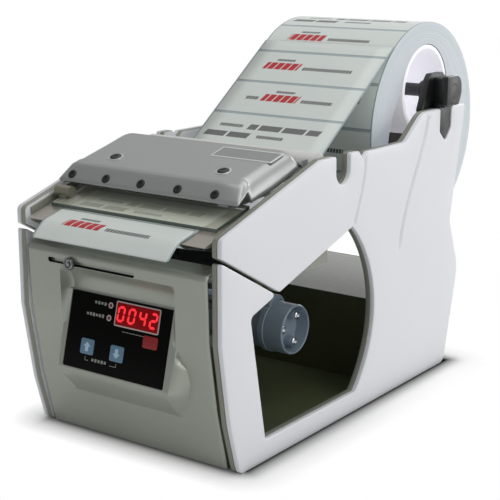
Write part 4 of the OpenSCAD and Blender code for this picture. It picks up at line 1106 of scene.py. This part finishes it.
print("strip length", round(float(uv[-1, 0, 1]), 3), "m")

# %% Free label
BACK_Y, TIP_Y, DROOP = 16.5, -17.9, 11.0
lie = np.linspace((BACK_Y, peel_at(BACK_Y) + 1.4), (PEEL_Y + 2, peel_at(PEEL_Y + 2) + 1.4), 12)
hang = bezier(lie[-1], (PEEL_Y - 3, PEEL_Z + 1.4), (PEEL_Y - 9.6, PEEL_Z - DROOP * 0.45),
              (TIP_Y, PEEL_Z - DROOP), 16)
path = np.concatenate([lie, hang[1:]])
length = walked(path)
total = length[-1]
across = np.linspace(-1, 1, 41)
R_CORNER = 2.2
from_end = np.minimum(length, total - length)
arc_depth = np.sqrt(np.maximum(0, R_CORNER ** 2 - (R_CORNER - from_end) ** 2))
shorten = np.where(from_end < R_CORNER, R_CORNER - arc_depth, 0)
half_w = ROLL_W / 2 - 0.1 - shorten
lx = -1.2 + half_w[:, None] * across
label = np.concatenate([lx[..., None], np.repeat(path[:, None], 41, 1)], -1)
luv = np.stack([(lx + 1.2) * MM, np.repeat(length[:, None] * LABEL / total, 41, 1) * MM], -1)
free = make("free_label", label.reshape(-1, 3), grid_faces(*label.shape[:2]), "housing", "paper",
            ["dispensed_label"], solid=False, uv=luv.reshape(-1, 2))
dress(free, "free label")
thicken(free, PAPER_T, 0)
print("label length", round(total, 1), "mm")

# %% [markdown]
# ## Spool holders
# Black nylon holders carry the steel rod in the panels' notches. Each has a knob outside,
# a waist that drops into the notch and a flange inside.

# %% Holders
OUTER_FLANGE = rounded([(330.4, 252.8, 1.5), (354.5, 251.8, 6), (359.6, 263, 9), (357.5, 279.2, 10),
                        (330.4, 279.2, 1.5)])
INNER_FLANGE = rounded([(313.5, 246.5, 3), (361, 246.5, 3), (361, 276, 6), (354, 281, 5), (332.5, 281, 3),
                        (327.8, 276.5, 3)])
NECK = rounded([(337, 250, 1.5), (354, 250, 1.5), (354, 277, 2), (337, 277, 2)])
TONGUE = rounded([(334.0, 254, 0), (334.0, 229.2, 3), (344.5, 219.4, 5), (355.0, 231.2, 3), (355.0, 254, 0)])


def slab(outline, x0, x1, rim):
    """An outline in (y, z) from x0 to x1 with small rounded rims, as one (verts, faces) pair."""
    o = anticlockwise(outline)
    way = 1 if x1 > x0 else -1
    rise = ((rim, 0), (rim * 0.3, rim * 0.3), (0, rim))
    rings = [(k, x0 + way * dx) for k, dx in rise] + [(k, x1 - way * dx) for k, dx in rise[::-1]]
    return capped(np.stack([np.column_stack([np.full(len(o), x), inset(o, k)]) for k, x in rings]), [1, 2])


COLLAR = [(78, 6.2), (78, 9), (88.2, 9), (88.2, 6.2)]
BOSS = [(111.6, 9.5), (112, 9.0), (112, 7), (111.2, 6.2), (111.2, 0.01)]
SLABS = ((INNER_FLANGE, 88, 94.4, 0.7), (NECK, 93.8, 106, 0.3), (TONGUE, 95.8, 103.4, 0.5),
         (OUTER_FLANGE, 105.5, 111.9, 1.0))
for side, name in ((1, "right"), (-1, "left")):
    collar, boss = (spin(soften([(x * side, r) for x, r in profile], corner), CORE_Y, CORE_Z, 48)
                    for profile, corner in ((COLLAR, 0.8), (BOSS, 0.3)))
    parts = [collar, *(slab(o, x0 * side, x1 * side, rim) for o, x0, x1, rim in SLABS), boss]
    joined(name + "_spool_holder", parts, "housing", "black_plastic", "nylon", [name + "_holder"])
print("holders made")

# %% [markdown]
# ## Guide roller and rewinding hub
# The ivory roller only bends the strip. The blue-grey hub winds up the empty backing paper; its
# cup shows three bright screws, and a spring clip on the barrel pinches the paper's end.

# %% Roller, hub, clip
HUB_Y, HUB_Z = 179.0, 67.4
ROLLER = [(-94.4, 0.001), (-94.4, 4), (-88, 4), (-88, 11.5), (88, 11.5), (88, 4), (94.4, 4), (94.4, 0.001)]
HUB = [(-60, 3.1), (-60, 21), (24, 21), (24, 23.1), (30, 23.1), (30, 22.3), (49.2, 22.3), (50, 21.6),
       (50, 20.9), (49.2, 20.3), (37, 20.3), (37, 0.001)]
POST = soften([(36.9, 4.9), (38, 4.4), (43.9, 4.4), (44, 0.001)], 0.4)
POST_HEAD = soften([(43.9, 4.0), (45.6, 4.0), (46.6, 3.2), (46.7, 1.6), (45.4, 1.4), (45.4, 0.001)], 0.5)
dress(turned("ivory_roller", ROLLER, GUIDE_Y, GUIDE_Z, "guide", "white_plastic", ["guide_roller"], 0.7, 72),
      "ivory")
dress(turned("backing_hub", HUB, HUB_Y, HUB_Z, "rewinder", "grey_plastic", ["rewind_hub"], 0.6, 96), "slate")
posts, heads = [], []
for a in (50, 170, 290):
    y, z = HUB_Y + 13.5 * math.cos(math.radians(a)), HUB_Z + 13.5 * math.sin(math.radians(a))
    posts.append(spin(POST, y, z, 32))
    heads.append(spin(POST_HEAD, y, z, 32))
joined("hub_posts", posts, "rewinder", "grey_plastic", "slate")
joined("hub_screw_heads", heads, "rewinder", "bright", "bright", ["hub_screws"])
a = np.radians(62 + 56 * np.linspace(0, 1, 25))
lift = 23.5 + 0.9 + 4.0 * np.sin(np.linspace(0, math.pi, 25))
spoke = np.column_stack([np.cos(a), np.sin(a)])
clip = np.concatenate([spoke * lift[:, None], spoke[::-1] * 23.45]) + (HUB_Y, HUB_Z)
dress(plate("spring_clip", clip, 4.2, 29.8, 0.5, "clip", "grey_plastic", ["liner_clip"]), "slate")

# %% [markdown]
# ## Keypad
# The keypad is a glossy black sheet with blue and red keys and a lit red display. The digits are
# seven-segment bars, slanted a little as real ones are.

# %% Keypad finishes
def lit(name, colour, strength):
    """A lit surface: a dark plastic with its own light, its brightness varied a little by noise."""
    p = Paint(name, Roughness=0.3, Emission_Strength=strength)
    n = p.noise(2.0, 2)
    dim = scaled(colour, 0.75)
    p.into(Base_Color=p.blend(n, dim, colour), Emission_Color=p.blend(n, dim, colour))
    return p.material


FINISH["gloss"] = coated("glossy black film", rgb(6, 6, 5), 0.1, 0.3, 0.8, 0.004)
tune("gloss", Specular_IOR_Level=0.06)
FINISH["digit"] = lit("lit digits", rgb(250, 40, 52), 0.9)
FINISH["window"] = lit("red filter", rgb(112, 4, 8), 0.55)
tune("window", Specular_IOR_Level=0.1)
FINISH["frame"] = coated("pale frame", rgb(196, 178, 176), 0.03, 0.4)
FINISH["blue key"] = coated("blue key cap", rgb(98, 136, 160), 0.1, 0.4, 0.8, 0.01, cloud=4)
FINISH["blue rim"] = coated("blue arrow print", rgb(176, 208, 224), 0.03, 0.4)
FINISH["red key"] = coated("red key cap", rgb(150, 10, 20), 0.1, 0.4, 0.8, 0.01, cloud=4)
FINISH["lamp"] = coated("small lamp", rgb(96, 30, 40), 0.08, 0.3, 0.6)
FINISH["print"] = coated("pale grey print", rgb(142, 146, 142), 0.08, 0.5, 0.6)

# %% Keypad pieces
def pad_slab(name, outline, d0, d1, rim, body, slot, finish, replaced=()):
    """An outline (u, w) on the keypad, from depth d0 to d1, with a rounded upper edge."""
    o = anticlockwise(outline)
    rings = [(0, d0), (0, d1 - rim)]
    for t in np.radians([30, 60, 90]):
        rings.append((rim * (1 - math.cos(t)), d1 - rim * (1 - math.sin(t))))
    pts = np.stack([np.column_stack([inset(o, k), np.full(len(o), d)]) for k, d in rings])
    v, f = capped(pts, [0, 1])
    return dress(sharpen(make(name, on_pad(v[:, 0], v[:, 1], v[:, 2]), f, body, slot, replaced), 50), finish)


def block(u, w, wide, high, r):
    return box_outline(u - wide / 2, u + wide / 2, w - high / 2, w + high / 2, r, 5)


SCREEN = (17.9, 50.2)
pad_slab("keypad_film", block(0, PAD_H / 2, PAD_W - 0.4, PAD_H - 0.4, 1.5), -1.6, -0.05, 0.3, "housing",
         "gloss_black", "gloss", ["keypad_plate"])
pad_slab("display_surround", block(*SCREEN, 45.2, 19.9, 1.2), -0.4, 0.25, 0.2, "housing", "white_plastic",
         "frame", ["display_frame"])
pad_slab("display_filter", block(*SCREEN, 43.2, 17.9, 0.6), -0.3, 0.33, 0.1, "housing", "red_window",
         "window", ["display_module"])
KEYS = (("up", -28.7, 19.1, 13.8, 12.6, "blue"), ("down", 2.4, 18.8, 13.8, 12.8, "blue"),
        ("reset", 33.9, 33.4, 14.6, 9.8, "red"))
for name, u, w, wide, high, tint in KEYS:
    pad_slab(name + "_key_cap", block(u, w, wide, high, 1.6), -2.2, 0.5, 0.45, name + "_button",
             tint + "_key", tint + " key", [name + "_key"])


def arrow(u, w, size, way):
    """A block arrow of seven corners; way is 1 for up and -1 for down."""
    a = np.array([(-0.22, -0.5), (0.22, -0.5), (0.22, 0.02), (0.5, 0.02), (0, 0.5), (-0.5, 0.02),
                  (-0.22, 0.02)])
    return a * (size, size * way) + (u, w)


for (name, u, w, *_), way in zip(KEYS, (1, -1)):
    pad_slab(name + "_arrow", arrow(u, w, 7.6, way), 0.45, 0.56, 0.03, name + "_button", "blue_key",
             "blue rim")
SEGMENTS = {0: (0, 1), 1: (-1, 0.5), 2: (1, 0.5), 3: (0, 0), 4: (-1, -0.5), 5: (1, -0.5), 6: (0, -1)}
DIGITS = {"0": (0, 1, 2, 4, 5, 6), "4": (1, 2, 3, 5), "2": (0, 2, 3, 4, 6)}
bars = []
DIGIT_H, DIGIT_W, STROKE, SLANT = 12.8, 7.8, 2.0, 0.10
for i, char in enumerate("0042"):
    for k in DIGITS[char]:
        sx, sy = SEGMENTS[k]
        cx, cy = sx * (DIGIT_W - STROKE) / 2, sy * (DIGIT_H - STROKE) / 2
        if k in (0, 3, 6):
            shape = np.array([(-2.6, 0), (-1.7, -1.0), (1.7, -1.0), (2.6, 0), (1.7, 1.0), (-1.7, 1.0)])
        else:
            shape = np.array([(0, -2.6), (1.0, -1.7), (1.0, 1.7), (0, 2.6), (-1.0, 1.7), (-1.0, -1.7)])
        p = shape + (cx, cy)
        p[:, 0] += SLANT * p[:, 1] + SCREEN[0] + (i - 1.5) * 11.0
        p[:, 1] += SCREEN[1]
        v = np.concatenate([on_pad(p[:, 0], p[:, 1], d) for d in (0.3, 0.42)])
        bars.append((v, prism_faces(6)))
dress(make("lit_digits", *merge(*bars), "housing", "led", ["display_segments"], smooth=False), "digit")
lenses, bezels = [], []
turn = np.linspace(0, 2 * math.pi, 28, endpoint=False)
for u, w in ((-10.3, 55.2), (-10.5, 45.1)):
    for group, r0, r1, d in ((lenses, 0.001, 1.5, 0.2), (bezels, 1.5, 2.4, 0.3)):
        g = np.stack([on_pad(u + r * np.cos(turn), w + r * np.sin(turn), dd)
                      for r, dd in ((r0, d), (r1, d), (r1, -0.3), (r0, -0.3))])
        group.append((g.reshape(-1, 3), grid_faces(4, 28, wrap_u=True, wrap_v=True)))
joined("lamp_lenses", lenses, "housing", "red_window", "lamp", ["indicator_lamps"], 35)
joined("lamp_bezels", bezels, "housing", "white_plastic", "frame", degrees=35)

# %% [markdown]
# A keypad has small printed marks beside its lamps and keys. Here they are plain short bars and a
# bracket that joins the two arrow keys, raised by a tenth of a millimetre.

# %% Plain printed marks
marks = [block(6 + i * 3.4, 36.9, 2.9, 0.5, 0) for i in range(8)]
marks += [block(-26 + i * 3.3, 55.4 - 0.1 * (i % 2), 2.1, 2.0 + 0.5 * (i % 2), 0.2) for i in range(4)]
marks += [block(-33 + i * 3.2, 45.3 + 0.1 * (i % 2), 2.2, 2.0 + 0.4 * (i % 3), 0.2) for i in range(6)]
marks += [block(-21.5 + i * 3.3, 9.4, 2.2, 2.2 + 0.4 * (i % 2), 0.2) for i in range(5)]
marks += [block(-29.4, 9.6, 0.5, 3.0, 0), block(-27.9, 8.2, 3.4, 0.5, 0)]
marks += [block(3.2, 9.6, 0.5, 3.0, 0), block(-0.2, 8.2, 6.4, 0.5, 0)]
prints = []
for o in map(anticlockwise, marks):
    v = np.concatenate([on_pad(o[:, 0], o[:, 1], d) for d in (-0.1, 0.05)])
    prints.append((v, prism_faces(len(o))))
dress(make("keypad_marks", *merge(*prints), "housing", "white_plastic", smooth=False), "print")
print("keypad pieces made")

# %% [markdown]
# ## Clear plate
# A clear acrylic bar holds the strip down. Its cut edges look dark green, because light comes in
# there from the side, so the edges get their own colour and the faces stay clear.

# %% Clear plate
def acrylic(name):
    """Thin clear sheet: a pale tint at low alpha, so the strip below stays bright."""
    p = Paint(name, Roughness=0.08)
    tint = p.blend(p.noise(30, 2), rgb(226, 230, 208), rgb(240, 243, 226))
    p.into(Base_Color=tint, Alpha=0.24 + 0.10 * p.noise(1.5, 4))
    return p.material


FINISH["acrylic"] = acrylic("clear acrylic")
FINISH["green edge"] = coated("acrylic edge", rgb(84, 98, 90), 0.14, 0.25, 1.0, 0.01, coat=0.3, cloud=15)
CLEAR_Y0, CLEAR_Y1, CLEAR_LIFT, CLEAR_T = 19.6, 61.9, 1.05, 2.9
section = ((CLEAR_Y0, 0), (CLEAR_Y1, 0), (CLEAR_Y1, CLEAR_T), (CLEAR_Y0, CLEAR_T))
bar = np.array([(y, peel_at(y) + CLEAR_LIFT + t) for y, t in section])
clear = plate("clear_bar", bar, -84.4, 84.4, 0.25, "cover", "clear", ["clear_plate"])
dress(clear, "acrylic")
clear.data.materials.append(FINISH["green edge"])
for poly in clear.data.polygons:
    poly.material_index = int(abs(poly.normal.z) < 0.8)

# %% [markdown]
# ## Light, floor and camera
# Soft lamps at a plain level keep the paint's written colours. The ground takes the lamps'
# shadow, and a painted contact shadow darkens it next to the machine; for the camera it also
# glows, so it reads as white, and the world does the same behind the machine.

# %% Studio
def stand(obj, x, y, z, at):
    """Puts an object's three axes and its place into the columns of its matrix."""
    m = Matrix.Identity(4)
    for i, column in enumerate((x, y, z, at)):
        for j in range(3):
            m[j][i] = float(column[j])
    obj.matrix_world = m


def area_light(name, at, size, power, aim=(0, 0, 0.14)):
    lamp = bpy.data.lights.new(name, "AREA")
    lamp.shape = "RECTANGLE"
    lamp.size, lamp.size_y = size
    lamp.energy = power
    obj = bpy.data.objects.new(name, lamp)
    bpy.context.scene.collection.objects.link(obj)
    direction = np.array(aim) - np.array(at)
    z = -unit(direction)
    x = unit(np.cross((0, 0, 1), z)) if abs(z[2]) < 0.99 else np.array([1.0, 0, 0])
    stand(obj, x, np.cross(z, x), z, at)


area_light("key", (1.8, -0.3, 1.3), (1.2, 1.2), 11)
area_light("side", (1.35, 1.55, 0.42), (0.9, 0.6), 5, (0, 0.0, 0.22))
area_light("rear", (-0.1, 1.8, 0.75), (1.2, 0.7), 12, (0, 0.1, 0.1))
area_light("fill", (-0.9, -1.8, 0.7), (1.2, 1.0), 0.6)
area_light("overhead", (0.1, 0.2, 1.9), (1.6, 1.6), 13)
AMBIENT = 0.28
world = bpy.data.worlds.new("studio")
bpy.context.scene.world = world
world.use_nodes = True
sky = Nodes(world.node_tree)
rays = sky.add("ShaderNodeLightPath", out="Is Camera Ray")
toward = sky.add("ShaderNodeSeparateXYZ", None, [sky.add("ShaderNodeTexCoord", out="Generated")])
shown = rays.math("MAXIMUM", rays.out("Is Transmission Ray"))
slant = toward * 0.45 + toward.out("Y") * 0.30
sheen = sky.add("ShaderNodeMath", {"operation": "ADD", "use_clamp": True}, [slant, 0.70])
level = shown * (1.02 - AMBIENT) + AMBIENT + rays.out("Is Glossy Ray") * (sheen - AMBIENT)
background = sky.tree.nodes["Background"].inputs
sky.join(level, background["Strength"])
sky.join((1, 1, 1, 1), background["Color"])

floor_mesh = bpy.data.meshes.new("floor")
floor_mesh.from_pydata([(-4, -4, 0), (4, -4, 0), (4, 4, 0), (-4, 4, 0)], [], [(0, 1, 2, 3)])
floor = bpy.data.objects.new("floor", floor_mesh)
bpy.context.scene.collection.objects.link(floor)
fp = Paint("pale ground with painted contact shadow", Roughness=0.9, Specular_IOR_Level=0.0)
ground = fp.add("ShaderNodeSeparateXYZ", None, [fp.where()])
over_x = ((ground - 0.004).math("ABSOLUTE") - 0.100).math("MAXIMUM", 0.0)
over_y = ((ground.out("Y") + 0.014).math("ABSOLUTE") - 0.166).math("MAXIMUM", 0.0)
away = (over_x * over_x + over_y * over_y).math("SQRT")
# Painted contact shadow: within 22 mm of the machine's footprint the ground's colour goes nearly black and
# its faint glow fades out.
PAINTED_SHADOW_REACH, CLEAR_FROM, CLEAR_OVER = 0.022, 0.010, 0.030
painted_contact_shadow = 1 - (away / PAINTED_SHADOW_REACH).math("MINIMUM", 1.0)
far_off = ((away - CLEAR_FROM) / CLEAR_OVER).math("MAXIMUM", 0.0).math("MINIMUM", 1.0)
ray = fp.add("ShaderNodeLightPath", out=0)
fp.into(Base_Color=fp.blend(painted_contact_shadow * painted_contact_shadow, rgb(243, 243, 243), rgb(14, 12, 12)),
        Emission_Color=fp.blend(painted_contact_shadow, (1, 1, 1, 1), (0, 0, 0, 1)), Emission_Strength=0.12)
glow = fp.add("ShaderNodeEmission", None, {"Strength": 1.0})
mixed = fp.add("ShaderNodeMixShader", None, {0: ray * far_off, 1: Wire(fp, fp.shader.outputs[0]), 2: glow})
fp.join(mixed, fp.tree.nodes["Material Output"].inputs["Surface"])
floor_mesh.materials.append(fp.material)

# %% Camera
cam_data = bpy.data.cameras.new("camera")
FOCAL_PX, IMAGE_PX, SENSOR = 1275, 500, 36
cam_data.lens = FOCAL_PX / IMAGE_PX * SENSOR
cam_data.sensor_width = SENSOR
cam_data.clip_end = 20
camera = bpy.data.objects.new("camera", cam_data)
bpy.context.scene.collection.objects.link(camera)
azimuth, elevation, roll = (math.radians(v) for v in (35.74, 13.79, 0.09))
backward = np.array([math.sin(azimuth) * math.cos(elevation), -math.cos(azimuth) * math.cos(elevation),
                     math.sin(elevation)])
right = np.array([math.cos(azimuth), math.sin(azimuth), 0.0])
upward = np.cross(backward, right)
right_r = math.cos(roll) * right + math.sin(roll) * upward
up_r = -math.sin(roll) * right + math.cos(roll) * upward
stand(camera, right_r, up_r, backward, place([641.9, -712.3, 401.8]))
bpy.context.scene.camera = camera
bpy.context.scene.view_settings.view_transform = "Standard"
